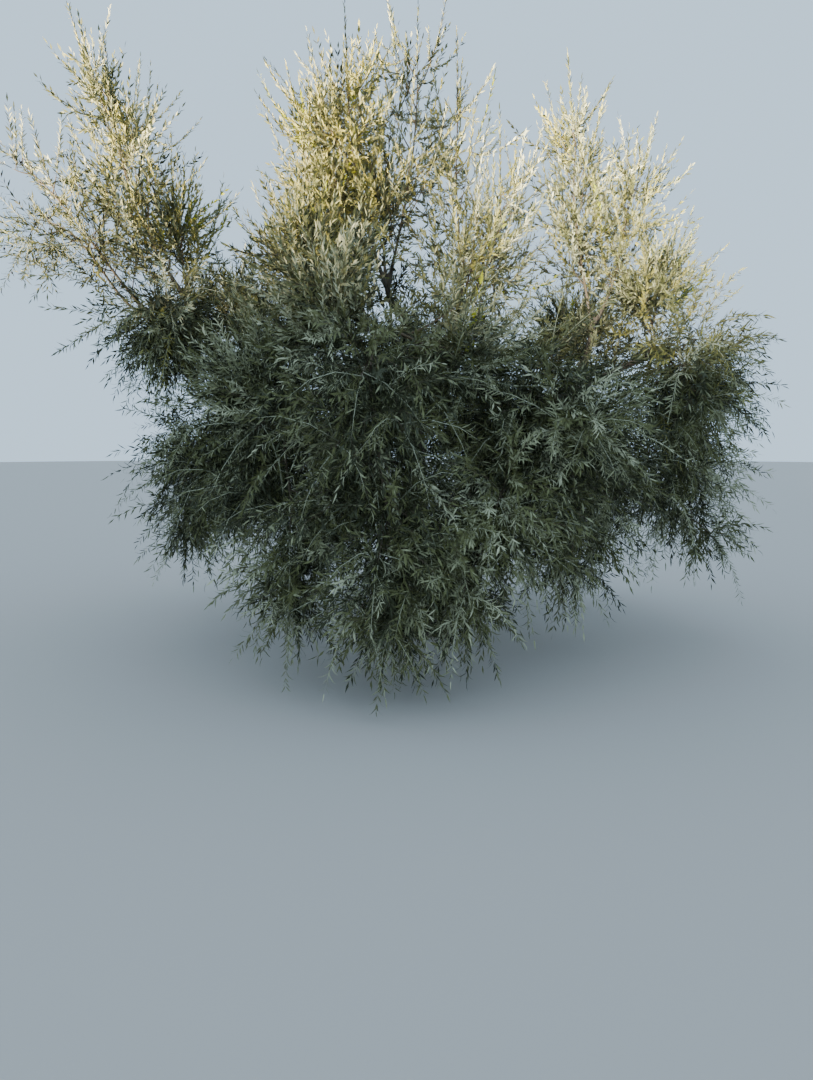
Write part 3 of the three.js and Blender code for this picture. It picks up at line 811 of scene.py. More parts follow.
def ring_faces(rings: int, sides: int) -> Array:
    """The triangles of a twig: a closed foot, bands between rings, and a point that ends it.

    Args:
        rings: how many rings the twig has, without its point.
        sides: how many corners a ring has.

    Returns:
        The triangles, as rows of three corners, where the point is the last corner.
    """
    faces = [(0, corner + 1, corner) for corner in range(1, sides - 1)]
    for ring in range(rings - 1):
        for corner in range(sides):
            here, on = ring * sides + corner, ring * sides + (corner + 1) % sides
            faces += [(here, on, on + sides), (here, on + sides, here + sides)]
    last = (rings - 1) * sides
    faces += [(last + corner, last + (corner + 1) % sides, rings * sides) for corner in range(sides)]
    return np.array(faces)


def add_twigs(parts: Parts, lines: Array, radii: Array, sides: int, finish: int = 0) -> None:
    """Adds round twigs along lines of points.

    Args:
        parts: where the twigs are gathered.
        lines: the twigs' lines, as an array of twigs by points by 3.
        radii: the radius at each point but the last, where a twig comes to a point.
        sides: how many corners a ring has.
        finish: the index of the twigs' finish.
    """
    if len(lines) == 0:
        return
    tangents = unit(np.gradient(lines, axis=1))
    steep = np.abs(tangents[:, :1, 2:]) > 0.8
    helper = np.where(steep, np.array([1.0, 0.0, 0.0]), UP)
    side = square_to(tangents, np.broadcast_to(helper, tangents.shape))
    square = np.cross(tangents, side)
    angles = 2 * math.pi * np.arange(sides) / sides
    spokes = side[:, :-1, None] * np.cos(angles)[:, None] + square[:, :-1, None] * np.sin(angles)[:, None]
    rings = lines[:, :-1, None] + spokes * np.asarray(radii)[..., None, None]
    corners = np.concatenate([rings.reshape(len(lines), -1, 3), lines[:, -1:]], axis=1)
    parts.add(corners, ring_faces(lines.shape[1] - 1, sides), finish)


@dataclass
class Bows:
    """Many simple bows: the twigs that leaves stand on, each with the side on which its first leaves stand."""

    starts: Array
    middles: Array
    ends: Array
    sideways: Array
    tones: Array

    def chosen(self, keep: Array) -> "Bows":
        """The bows for which keep is true."""
        return Bows(self.starts[keep], self.middles[keep], self.ends[keep], self.sideways[keep], self.tones[keep])

    def at(self, steps: Array) -> tuple[Array, Array]:
        """Points and directions along the bows.

        Args:
            steps: the steps along each bow from 0 to 1, as an array of bows by steps.

        Returns:
            The points and the unit directions, as arrays of bows by steps by 3.
        """
        step = steps[:, :, None]
        first, second = (self.middles - self.starts)[:, None], (self.ends - self.middles)[:, None]
        points = self.starts[:, None] + 2 * step * first + step**2 * (second - first)
        return points, unit(first + step * (second - first))


@dataclass(frozen=True)
class LeafShape:
    """A lance-shaped leaf that arches a little along its length.

    stations are the places along it where it has a corner at each edge, with its share of the width and its rise.
    """

    lengths: tuple[float, float]
    width: float
    stations: tuple[tuple[float, float, float], ...]
    droop: float

    def corners(self) -> Array:
        """The corners of a leaf of length one: along it, across it and above it."""
        edges = [
            (place, side * self.width * share / 2, rise) for place, share, rise in self.stations for side in (-1, 1)
        ]
        return np.array([(0.0, 0.0, 0.0), *edges, (1.0, 0.0, -self.droop)])

    def faces(self) -> Array:
        """The leaf's triangles, as rows of three corners."""
        last = 2 * len(self.stations)
        faces = [(0, 1, 2)]
        for right in range(1, last - 1, 2):
            faces += [(right, right + 2, right + 3), (right, right + 3, right + 1)]
        return np.array([*faces, (last - 1, last + 1, last)])

    def add(
        self,
        parts: Parts,
        roots: Array,
        along: Array,
        above: Array,
        lengths: Array,
        breadth: float,
        finishes: Array,
    ) -> None:
        """Adds leaves.

        Args:
            parts: where the leaves are gathered.
            roots: where each leaf starts.
            along: the direction in which each leaf points.
            above: the direction that each leaf's upper side faces.
            lengths: the length of each leaf.
            breadth: how much wider the leaves are than the shape's own width.
            finishes: the index of each leaf's colour.
        """
        axes = np.stack([along, np.cross(above, along) * breadth, above], axis=1) * lengths[:, None, None]
        parts.add(roots[:, None] + np.einsum("ck,nkd->ncd", self.corners(), axes), self.faces(), finishes)


@dataclass(frozen=True)
class Twiglet:
    """A leafy side twig of a branchlet: its place, its share of the branchlet's length, and its pairs of leaves."""

    place: float
    reach: float
    pairs: int


@dataclass(frozen=True)
class Habit:
    """How branchlets are clothed.

    upright_open and hanging_open are the degrees from a twig to its leaves where the mass grows up and where it
    hangs, brightness is how far the branchlets take on their mass's own tone rather than the dark painted shade of
    the crown's inside, hang is how far hanging leaves turn down, and bark is the finish of hanging twigs.
    """

    leaf: LeafShape
    pairs: int
    twiglets: tuple[Twiglet, ...]
    upright_open: tuple[float, float]
    hanging_open: tuple[float, float]
    brightness: float
    odd_leaves: float
    hang: float
    radius: float
    bark: int


OUTER_HABIT = Habit(
    leaf=LeafShape((0.052, 0.076), 0.110, ((0.30, 1.0, 0.05), (0.68, 0.76, 0.055)), 0.08),
    pairs=24,
    twiglets=(Twiglet(0.10, 0.36, 8), Twiglet(0.30, 0.30, 7)),
    upright_open=(14.0, 34.0),
    hanging_open=(38.0, 66.0),
    brightness=1.0,
    odd_leaves=0.3,
    hang=0.06,
    radius=0.0034,
    bark=1,
)
INNER_HABIT = Habit(
    leaf=LeafShape((0.056, 0.080), 0.185, ((0.45, 1.0, 0.035),), 0.0),
    pairs=15,
    twiglets=(Twiglet(0.12, 0.36, 6), Twiglet(0.27, 0.32, 5), Twiglet(0.43, 0.25, 4), Twiglet(0.58, 0.19, 3)),
    upright_open=(18.0, 42.0),
    hanging_open=(28.0, 54.0),
    # inner branchlets lean towards the dark painted shade of the crown's inside
    brightness=0.5,
    odd_leaves=0.16,
    hang=0.2,
    radius=0.0024,
    bark=0,
)


@dataclass
class Foliage:
    """The leaves and twigs of the masses that one limb carries.

    Each spray's room is filled by a branchlet: a bowed axis with side twiglets to the left and the right, opposite
    pairs of leaves all along them, and one leaf at each end.
    """

    group: str
    growth: Growth
    sag: float = 0.26
    sway: float = 0.05
    axis_rings: int = 3
    first_pair: float = 0.08
    last_pair: float = 0.97
    pair_stagger: float = 0.7
    pair_twist: float = 0.35
    twiglet_radius: float = 0.0015
    twiglet_places: tuple[float, float] = (0.04, 0.9)
    twiglet_stagger: float = 0.05
    twiglet_shift: float = 0.04
    twiglet_tilt: float = 0.5
    twiglet_lengths: tuple[float, float] = (0.8, 1.15)
    twiglet_open: tuple[float, float] = (36.0, 54.0)
    twiglet_curl: float = 0.2
    twiglet_rise: float = 0.12
    upright_length: float = 0.80
    upright_width: float = 1.6
    bough_rise: float = 0.3
    # how far branchlets leave the painted shade of the crown's inside: more towards a stem's tip and where the mass
    # stands up
    light_rise: float = 1.25
    upright_light: float = 0.6
    upright_tone: float = 0.7
    leaf_roll: float = 0.5
    lowest_leaf: float = 0.012
    stem_radius: float = 0.0125
    stem_tip: float = 0.003
    stem_rings: int = 24
    stem_sides: int = 7
    shoot_radius: float = 0.0062
    shoot_tip: float = 0.0022
    shoot_rings: int = 7
    shoot_sides: int = 5
    twig_sides: int = 3

    def build(self, leaf_finishes: Sequence[bpy.types.Material], twig_finishes: Sequence[bpy.types.Material]) -> None:
        """Grows the masses and makes pieces of their outer leaves, their inner leaves and their twigs.

        Args:
            leaf_finishes: the leaf colours, in the order of Leaf.
            twig_finishes: the materials of old and of young twigs.
        """
        outer, inner, twigs = Parts(), Parts(), Parts()
        names = []
        for stem in self.growth.skeleton.stems:
            if stem.limb != self.group:
                continue
            names.append(stem.plan.name)
            shoots, sprays = self.growth.grow(stem)
            self._add_stem(twigs, stem, shoots)
            for leaves, habit, far_out in ((outer, OUTER_HABIT, True), (inner, INNER_HABIT, False)):
                chosen = [spray for spray in sprays if spray.outer == far_out]
                count = (stem.plan.twiglets + 1) // 2 if far_out else stem.plan.twiglets
                clothing = Clothing(self, habit, count, stem.upright, stem.plan.tone)
                clothing.add(leaves, twigs, chosen, np.random.default_rng([stem.seed, far_out]))
        for seed, limb in enumerate(self.growth.skeleton.wood):
            if limb.group == self.group:
                # the boughs' own branchlets are dealt the painted shade of the crown's inside
                clothing = Clothing(self, INNER_HABIT, len(INNER_HABIT.twiglets), self.bough_rise, Tone.PAINTED_INNER_SHADE)
                clothing.add(inner, twigs, self.growth.clothe(limb, seed), np.random.default_rng(seed))
        word = self.group.removesuffix("_limb")
        finish(outer.piece(f"{word}_outer_leaves", leaf_finishes), "sunlit_leaves", names)
        finish(inner.piece(f"{word}_inner_leaves", leaf_finishes), "shaded_leaves", names)
        finish(twigs.piece(f"{word}_twigs", twig_finishes), "bark", names)

    def _add_stem(self, twigs: Parts, stem: Stem, shoots: Sequence[Shoot]) -> None:
        """Adds a stem and its shoots."""
        shares = np.linspace(0.0, 1.0, self.stem_rings + 1)
        radii = between(self.stem_radius, self.stem_tip, shares[:-1])
        add_twigs(twigs, stem.curve.at(shares)[None], radii, self.stem_sides)
        steps = np.linspace(0.0, 1.0, self.shoot_rings + 1)
        lines = np.stack([shoot.curve.points(steps) for shoot in shoots])
        add_twigs(twigs, lines, between(self.shoot_radius, self.shoot_tip, steps[:-1]), self.shoot_sides)


@dataclass
class Clothing:
    """Branchlets of one habit, for sprays of one mass.

    upright is 1 where the branchlets turn up and -1 where they hang.
    """

    foliage: Foliage
    habit: Habit
    twiglets: int
    upright: float
    tone: Tone

    def add(self, leaves: Parts, twigs: Parts, sprays: Sequence[Spray], rng: np.random.Generator) -> None:
        """Fills the sprays' rooms with branchlets.

        Args:
            leaves: where the leaves are gathered.
            twigs: where the twigs are gathered.
            sprays: the rooms to fill.
            rng: seeded random numbers.
        """
        if not sprays:
            return
        bows, lengths = self._axes(sprays, rng)
        rings = self.foliage.axis_rings
        steps = np.broadcast_to(np.linspace(0.0, 1.0, rings + 1), (len(sprays), rings + 1))
        radii = between(self.habit.radius, self.habit.radius / 3, np.arange(rings) / rings)
        add_twigs(twigs, bows.at(steps)[0], radii, self.foliage.twig_sides, self._bark())
        self._add_leaves(leaves, bows, self.habit.pairs, rng)
        facings = np.stack([spray.facing for spray in sprays])
        for number, twiglet in enumerate(self.habit.twiglets[: self.twiglets]):
            for side in (-1.0, 1.0):
                keep = np.arange(len(sprays)) % 2 == (number + (side > 0)) % 2
                side_bows = self._side_twigs(bows, lengths, facings, twiglet, side, rng).chosen(keep)
                lines = np.stack([side_bows.starts, side_bows.ends], axis=1)
                add_twigs(twigs, lines, [self.foliage.twiglet_radius], self.foliage.twig_sides, self._bark())
                self._add_leaves(leaves, side_bows, twiglet.pairs, rng)

    def _bark(self) -> int:
        """The twigs' finish: old bark where they stand up."""
        return 0 if self.upright > 0.5 else self.habit.bark

    def _axes(self, sprays: Sequence[Spray], rng: np.random.Generator) -> tuple[Bows, Array]:
        """The branchlets' axes, bowed up or down, and their lengths."""
        roots = np.stack([spray.root for spray in sprays])
        tips = np.stack([spray.tip for spray in sprays])
        facings = np.stack([spray.facing for spray in sprays])
        shares = np.array([spray.share for spray in sprays])
        lengths = np.linalg.norm(tips - roots, axis=1)
        sideways = unit(np.cross(facings, tips - roots))
        swing = sideways * self._either_way(self.foliage.sway, len(sprays), rng)
        swing -= UP * self.foliage.sag * self.upright
        middles = (roots + tips) / 2 + swing * lengths[:, None]
        return Bows(roots, middles, tips, sideways, self._tones(shares, rng)), lengths

    @staticmethod
    def _either_way(most: float, count: int, rng: np.random.Generator) -> Array:
        """A column of random numbers, at most so much to either side of nought."""
        return rng.uniform(-most, most, (count, 1))

    def _side_twigs(
        self, bows: Bows, lengths: Array, facings: Array, twiglet: Twiglet, side: float, rng: np.random.Generator
    ) -> Bows:
        """A side twig of each branchlet.

        Args:
            bows: the branchlets' axes.
            lengths: the axes' lengths.
            facings: the direction that each branchlet's broad side faces.
            twiglet: the side twig's plan.
            side: 1 for the left and -1 for the right.
            rng: seeded random numbers.

        Returns:
            The side twigs.
        """
        count = len(lengths)
        foliage = self.foliage
        shift = foliage.twiglet_stagger * side + self._either_way(foliage.twiglet_shift, count, rng)
        points, along = bows.at(np.clip(twiglet.place + shift, *foliage.twiglet_places))
        start, along = points[:, 0], along[:, 0]
        tilt = self._either_way(foliage.twiglet_tilt, count, rng)
        outward = square_to(along, bows.sideways * side + facings * tilt)
        leave = opened(along, outward, np.radians(rng.uniform(*foliage.twiglet_open, (count, 1))))
        reach = (lengths * twiglet.reach * rng.uniform(*foliage.twiglet_lengths, count))[:, None]
        middle = start + leave * reach / 2
        arrive = unit(leave + along * foliage.twiglet_curl + UP * foliage.twiglet_rise * self.upright)
        return Bows(start, middle, middle + arrive * reach / 2, outward, bows.tones)

    def _tones(self, shares: Array, rng: np.random.Generator) -> Array:
        """Deals each branchlet its main leaf colour, with painted shade: darker inside the crown and near the foot of
        a hanging stem.
        """
        growing_up = max(0.0, self.upright)
        foliage = self.foliage
        lit = np.clip(shares * foliage.light_rise + foliage.upright_light * growing_up, 0.0, 1.0)[:, None]
        lit = lit * between(self.habit.brightness, 1.0, foliage.upright_tone * growing_up)
        odds = between(np.array(Tone.PAINTED_INNER_SHADE.value), np.array(self.tone.value), lit)
        totals = np.cumsum(odds / odds.sum(axis=1, keepdims=True), axis=1)
        return np.minimum((rng.random((len(shares), 1)) > totals).sum(axis=1), len(Leaf) - 1)

    def _add_leaves(self, leaves: Parts, bows: Bows, pairs: int, rng: np.random.Generator) -> None:
        """Adds opposite pairs of leaves along bowed twigs, each pair square to the last, and one leaf at each end.

        Args:
            leaves: where the leaves are gathered.
            bows: the twigs.
            pairs: how many pairs a twig has.
            rng: seeded random numbers.
        """
        count = len(bows.tones)
        foliage = self.foliage
        order = (np.arange(pairs) + rng.random((count, pairs)) * foliage.pair_stagger) / pairs
        steps = between(foliage.first_pair, foliage.last_pair, order)
        points, along = bows.at(steps)
        side = square_to(along, np.broadcast_to(bows.sideways[:, None], along.shape))
        twist = rng.normal(0.0, foliage.pair_twist, (count, pairs))
        turn = np.where(np.arange(pairs) % 2, math.pi / 2, 0.0) + twist
        stands = around(along, side, turn[:, :, None])
        both = np.concatenate([stands, -stands], axis=1)
        forward = np.concatenate([along, along], axis=1)
        growing_up = max(0.0, self.upright)
        spread = [between(*ends, growing_up) for ends in zip(self.habit.hanging_open, self.habit.upright_open)]
        heading = opened(forward, both, np.radians(rng.uniform(*spread, both.shape[:2]))[:, :, None])
        end_point, end_along = bows.at(np.ones((count, 1)))
        roots = np.concatenate([points, points, end_point], axis=1).reshape(-1, 3)
        heading = np.concatenate([heading, end_along], axis=1)
        heading = unit(heading - UP * self.habit.hang * max(0.0, -self.upright)).reshape(-1, 3)
        forward = np.concatenate([forward, square_to(end_along, stands[:, -1:])], axis=1).reshape(-1, 3)
        above = square_to(heading, forward + UP * HAIR)
        above = around(heading, above, rng.normal(0.0, foliage.leaf_roll, (len(heading), 1)))
        lengths = rng.uniform(*self.habit.leaf.lengths, len(heading))
        lengths = lengths * between(1.0, foliage.upright_length, growing_up)
        colours = self._coloured(np.repeat(bows.tones, 2 * pairs + 1), rng)
        keep = roots[:, 2] + heading[:, 2] * lengths > foliage.lowest_leaf
        breadth = between(1.0, foliage.upright_width, growing_up)
        self.habit.leaf.add(leaves, roots[keep], heading[keep], above[keep], lengths[keep], breadth, colours[keep])

    def _coloured(self, tones: Array, rng: np.random.Generator) -> Array:
        """Leaf colours: mostly the branchlet's own, and some green leaves and silvery undersides."""
        odd = rng.random(len(tones))
        colours = np.where(odd < self.habit.odd_leaves, Leaf.SILVER.value, tones)
        return np.where(odd < self.habit.odd_leaves / 2, Leaf.GREEN.value, colours)


@dataclass
class Olives:
    """Ripe olives, which hang by short stalks from branchlets on the far left."""

    growth: Growth
    masses: tuple[str, ...] = ("far_left_cluster", "left_dome", "far_left_arch")
    each: int = 22
    length: float = 0.019
    width: float = 0.0145
    stalk: float = 0.012
    stalk_radius: float = 0.0009
    stalk_sides: int = 3
    sunk: float = 0.002
    scatter: float = 0.004
    places: tuple[float, float] = (0.25, 0.75)

    def build(self, fruit_finish: bpy.types.Material, stalk_finish: bpy.types.Material) -> None:
        """Makes one piece of olives and their stalks.

        Args:
            fruit_finish: the olives' material.
            stalk_finish: the stalks' material.
        """
        parts = Parts()
        rng = np.random.default_rng(len(self.masses))
        corners, faces = self._fruit()
        for stem in self.growth.skeleton.stems:
            if stem.plan.name not in self.masses:
                continue
            sprays = [spray for spray in self.growth.grow(stem)[1] if spray.outer]
            picked = rng.choice(len(sprays), self.each)
            roots = np.stack([sprays[i].root for i in picked])
            tips = np.stack([sprays[i].tip for i in picked])
            places = rng.uniform(*self.places, (self.each, 1))
            held = between(roots, tips, places) + unit(rng.normal(size=(self.each, 3))) * self.scatter
            hung = held - UP * self.stalk
            centres = hung - UP * self.length / 2
            stalks = np.stack([held, hung - UP * self.sunk], axis=1)
            add_twigs(parts, stalks, [self.stalk_radius], self.stalk_sides, finish=1)
            parts.add(centres[:, None] + corners, faces, 0)
        piece = parts.piece("olives", [fruit_finish, stalk_finish])
        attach(piece, "root")
        log.info("%s: %d triangles", piece.name, len(piece.data.polygons))

    def _fruit(self) -> tuple[Array, Array]:
        """The corners and triangles of one olive, from a round ball drawn out along its axis."""
        ball = bmesh.new()
        bmesh.ops.create_icosphere(ball, subdivisions=2, radius=0.5)
        corners = np.array([corner.co for corner in ball.verts]) * (self.width, self.width, self.length)
        faces = np.array([[corner.index for corner in face.verts] for face in ball.faces])
        ball.free()
        return corners, faces


def finish(piece: bpy.types.Object, slot: str, nodes: Sequence[str]) -> None:
    """Puts a piece in the model in place of its solids, and reports it.

    Args:
        piece: the finished object.
        slot: a material slot's name, which is not used.
        nodes: the solids that it stands for.
    """
    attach(piece, "root")
    if nodes:
        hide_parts(*nodes)
    triangles = sum(len(polygon.vertices) - 2 for polygon in piece.data.polygons)
    log.info("%s: %d triangles, for %d solids", piece.name, triangles, len(nodes))


class Value:
    """A socket of a material's nodes, so that shader maths reads as arithmetic."""

    def __init__(self, nodes: "Nodes", socket: bpy.types.NodeSocket) -> None:
        """Wraps a socket of the nodes given."""
        self.nodes = nodes
        self.socket = socket

    def _math(self, operation: str, first: "Value | float", second: "Value | float") -> "Value":
        """A Math node on two values."""
        return self.nodes.add("ShaderNodeMath", {"operation": operation}, {0: first, 1: second})

    def __add__(self, other: "Value | float") -> "Value":
        """The sum."""
        return self._math("ADD", self, other)

    def __mul__(self, other: "Value | float") -> "Value":
        """The product."""
        return self._math("MULTIPLY", self, other)

    def __rsub__(self, other: "Value | float") -> "Value":
        """A number less this value."""
        return self._math("SUBTRACT", other, self)

    __radd__ = __add__
    __rmul__ = __mul__


class Nodes:
    """The nodes of one material."""

    def __init__(self, name: str) -> None:
        """Starts a material with an empty principled shader."""
        self.material = bpy.data.materials.new(name)
        self.material.use_nodes = True
        self.tree = self.material.node_tree
        self.shader = next(node for node in self.tree.nodes if node.type == "BSDF_PRINCIPLED")

    def add(
        self, kind: str, settings: dict | None = None, inputs: dict | None = None, output: int | str = 0
    ) -> Value:
        """Adds a node.

        Args:
            kind: the node's type.
            settings: its properties; "stops" are the places and colours of a ramp.
            inputs: a value or a link for each socket, by name or number.
            output: the socket that is returned, by name or number.

        Returns:
            The node's output.
        """
        node = self.tree.nodes.new(kind)
        for key, value in (settings or {}).items():
            if key == "stops":
                self._set_stops(node.color_ramp, value)
            else:
                setattr(node, key, value)
        for key, value in (inputs or {}).items():
            self._feed(node.inputs[key], value)
        return Value(self, node.outputs[output])

    @staticmethod
    def _set_stops(ramp: bpy.types.ColorRamp, stops: Sequence[tuple[float, Sequence[float]]]) -> None:
        """Gives a ramp its stops."""
        while len(ramp.elements) < len(stops):
            ramp.elements.new(0.5)
        for element, (place, colour) in zip(ramp.elements, stops):
            element.position = place
            element.color = (*colour, 1.0)

    def _feed(self, socket: bpy.types.NodeSocket, value: object) -> None:
        """Links or sets one socket."""
        if isinstance(value, Value):
            self.tree.links.new(value.socket, socket)
        else:
            socket.default_value = value

    def set(self, **inputs: object) -> bpy.types.Material:
        """Sets the shader's sockets, with underscores for the spaces in their names, and gives the material."""
        for name, value in inputs.items():
            self._feed(self.shader.inputs[name.replace("_", " ")], value)
        return self.material


@dataclass(frozen=True)
class PlainFinish:
    """A finish of one plain colour, for leaves, twigs, olives and the floor."""

    name: str
    colour: tuple[float, float, float]
    roughness: float
    specular: float = 0.5

    def material(self) -> bpy.types.Material:
        """Makes the material."""
        colour = (*self.colour, 1.0)
        return Nodes(self.name).set(Base_Color=colour, Roughness=self.roughness, Specular_IOR_Level=self.specular)


LEAF_FINISHES = (
    # painted shade: the darkest leaves, dealt mostly inside the crown and on the shaded skirts
    PlainFinish("leaf_painted_shade", (0.044, 0.050, 0.022), 0.55, 0.3),
    PlainFinish("leaf_green", (0.135, 0.143, 0.056), 0.52, 0.3),
    PlainFinish("leaf_silver", (0.27, 0.28, 0.160), 0.60, 0.3),
    # partly the leaves' own silver, partly a painted highlight: silvery leaves painted paler for the shaded skirts
    PlainFinish("leaf_pale", (0.49, 0.50, 0.33), 0.60, 0.3),
    # painted sunlight: warm pale leaves, dealt mostly to the tops
    PlainFinish("leaf_sunlit", (0.32, 0.30, 0.085), 0.60, 0.3),
    PlainFinish("leaf_young", (0.28, 0.31, 0.02), 0.55, 0.3),
)
TWIG_FINISHES = (
    PlainFinish("twig_bark", (0.13, 0.100, 0.064), 0.75),
    PlainFinish("young_twig", (0.52, 0.53, 0.38), 0.75),
)
OLIVE_SKIN = PlainFinish("olive_skin", (0.030, 0.020, 0.032), 0.38)
FLOOR_FINISH = PlainFinish("floor", (0.50, 0.47, 0.44), 0.9)


@dataclass(frozen=True)
class BarkFinish:
    """Fissured grey-brown bark with paler ridges, which runs along each limb."""

    fissure: tuple[float, float, float] = (0.034, 0.026, 0.020)
    plate: tuple[float, float, float] = (0.110, 0.090, 0.070)
    ridge: tuple[float, float, float] = (0.190, 0.168, 0.138)
    places: tuple[float, float, float] = (0.36, 0.5, 0.66)
    plate_scale: float = 42.0
    plate_detail: float = 6.0
    plate_roughness: float = 0.62
    patch_scale: float = 7.0
    patch_detail: float = 3.0
    patchiness: float = 0.3
    smoothness: float = 0.2
    bump: float = 0.004
    bump_strength: float = 0.8

    def material(self) -> bpy.types.Material:
        """Makes the material, whose patterns read the wood's own grain coordinates."""
        nodes = Nodes("bark")
        grain = nodes.add("ShaderNodeAttribute", {"attribute_name": Wood.GRAIN}, output="Vector")
        plate_look = {"Scale": self.plate_scale, "Detail": self.plate_detail, "Roughness": self.plate_roughness}
        patch_look = {"Scale": self.patch_scale, "Detail": self.patch_detail}
        plates, patches = (
            nodes.add("ShaderNodeTexNoise", None, {"Vector": grain, **look}) for look in (plate_look, patch_look)
        )
        mixed = plates * (1.0 - self.patchiness) + patches * self.patchiness
        stops = list(zip(self.places, (self.fissure, self.plate, self.ridge)))
        colour = nodes.add("ShaderNodeValToRGB", {"stops": stops}, {"Fac": mixed}, "Color")
        relief = {"Height": plates, "Distance": self.bump, "Strength": self.bump_strength}
        normal = nodes.add("ShaderNodeBump", None, relief, "Normal")
        return nodes.set(Base_Color=colour, Roughness=1.0 - mixed * self.smoothness, Normal=normal)


@dataclass
class Wood:
    """The trunk, limbs and boughs under one skin of old bark.

    Tubes round the limbs are joined by a voxel remesh, which rounds the crotches, and the skin is then pushed in
    and out along each limb's grain.
    """

    skeleton: Skeleton
    voxel: float = 0.0125
    smoothing: int = 3
    easing: float = 0.5
    collar: float = 0.28
    collar_length: float = 0.14
    fork_share: float = 0.16
    fork_radius: float = 0.021
    fork_tip: float = 0.0125
    swelling: tuple[float, float] = (0.085, 0.16)
    fissures: tuple[float, float] = (0.042, 0.035)
    fissure_edge: float = 0.22
    foot_fade: float = 0.03
    trunk_sides: int = 40
    limb_sides: int = 14
    ring_spacing: float = 0.03
    fewest_rings: int = 4
    grain_steps: int = 40
    stretch: float = 5.0
    twist: float = 1.6

    GRAIN = "grain"

    def build(self, material: bpy.types.Material) -> None:
        """Makes the wood's skin as one piece.

        Args:
            material: the bark.
        """
        rough = bmesh.new()
        for limb in self.skeleton.wood:
            self._add_tube(rough, limb)
        for stem in self.skeleton.stems:
            self._add_tube(rough, self._fork(stem))
        mesh = bpy.data.meshes.new("rough_wood")
        rough.to_mesh(mesh)
        rough.free()
        piece = bpy.data.objects.new("wood", mesh)
        bpy.context.scene.collection.objects.link(piece)
        piece.data = self._remeshed(piece)
        self._carve(piece.data)
        piece.data.materials.append(material)
        piece.data.shade_smooth()
        finish(piece, "bark", [limb.name for limb in self.skeleton.wood])

    def _fork(self, stem: Stem) -> Limb:
        """The first stretch of a stem, thick enough to leave its bough as a fork."""
        points = stem.curve.at(np.linspace(0.0, self.fork_share, 4))
        tapering: Callable[[Array], Array] = lambda share: between(self.fork_radius, self.fork_tip, share)
        return Limb(stem.plan.name, stem.limb, Curve(*points), 4, tapering)

    def _add_tube(self, rough: bmesh.types.BMesh, limb: Limb) -> None:
        """Adds a closed tube round a limb, from a cylinder that is laid along the limb's curve."""
        sides = self.trunk_sides if limb.name == "trunk" else self.limb_sides
        rings = max(self.fewest_rings, round(limb.curve.length / self.ring_spacing))
        tube = bmesh.new()
        bmesh.ops.create_cone(tube, cap_ends=True, segments=sides, radius1=1.0, radius2=1.0, depth=1.0)
        upright = [edge for edge in tube.edges if abs(edge.verts[0].co.z - edge.verts[1].co.z) > 0.5]
        bmesh.ops.subdivide_edges(tube, edges=upright, cuts=rings - 1, use_grid_fill=True)
        corners = np.array([corner.co for corner in tube.verts])
        for corner, place in zip(tube.verts, self._laid(limb, corners)):
            corner.co = place
        bmesh.ops.recalc_face_normals(tube, faces=tube.faces)
        mesh = bpy.data.meshes.new("tube")
        tube.to_mesh(mesh)
        tube.free()
        rough.from_mesh(mesh)
        bpy.data.meshes.remove(mesh)

    def _laid(self, limb: Limb, corners: Array) -> Array:
        """The corners of a unit cylinder, laid round a limb's curve."""
        shares = np.clip(corners[:, 2] + 0.5, 0.0, 1.0)
        angles = np.arctan2(corners[:, 1], corners[:, 0])
        side, square = self._frames(limb, shares)
        radii = limb.radius_at(shares) * np.hypot(corners[:, 0], corners[:, 1])
        if limb.name == "trunk":
            turn = TRUNK.flutes * angles + TRUNK.flute_twist * shares
            radii = radii * (1 + TRUNK.flute_depth * np.cos(turn))
        else:
            radii = radii * (1 + self.collar * np.exp(-shares * limb.curve.length / self.collar_length))
        spokes = side * np.cos(angles)[:, None] + square * np.sin(angles)[:, None]
        return limb.curve.at(shares) + spokes * radii[:, None]

    @staticmethod
    def _frames(limb: Limb, shares: Array) -> tuple[Array, Array]:
        """Two directions square to a limb at shares of its length, which turn as little as they can along it."""
        tangents = limb.curve.tangents(shares)
        lengthwise = np.abs(limb.curve.at(1.0) - limb.curve.at(0.0))
        helper = np.eye(3)[int(np.argmin(lengthwise))]
        side = square_to(tangents, np.broadcast_to(helper, tangents.shape))
        return side, np.cross(tangents, side)

    def _remeshed(self, piece: bpy.types.Object) -> bpy.types.Mesh:
        """The piece's mesh after a voxel remesh and a little smoothing."""
        remesh = piece.modifiers.new("joined", "REMESH")
        remesh.mode = "VOXEL"
        remesh.voxel_size = self.voxel
        smooth = piece.modifiers.new("eased", "SMOOTH")
        smooth.factor = self.easing
        smooth.iterations = self.smoothing
        evaluated = piece.evaluated_get(bpy.context.evaluated_depsgraph_get())
        mesh = bpy.data.meshes.new_from_object(evaluated)
        piece.modifiers.clear()
        return mesh

    def _carve(self, mesh: bpy.types.Mesh) -> None:
        """Pushes the skin in and out along the grain, and keeps the grain's coordinates for the bark's material."""
        corners, normals = self._vectors(mesh, "co"), self._vectors(mesh, "normal")
        grain, radii = self._grain(corners)
        depths = self._relief(grain, radii) * np.clip(corners[:, 2] / self.foot_fade, 0.0, 1.0)
        corners += normals * depths[:, None]
        corners[:, 2] = np.maximum(corners[:, 2], 0.0)
        mesh.vertices.foreach_set("co", corners.astype(np.float32).ravel())
        attribute = mesh.attributes.new(self.GRAIN, "FLOAT_VECTOR", "POINT")
        attribute.data.foreach_set("vector", grain.astype(np.float32).ravel())
        mesh.update()

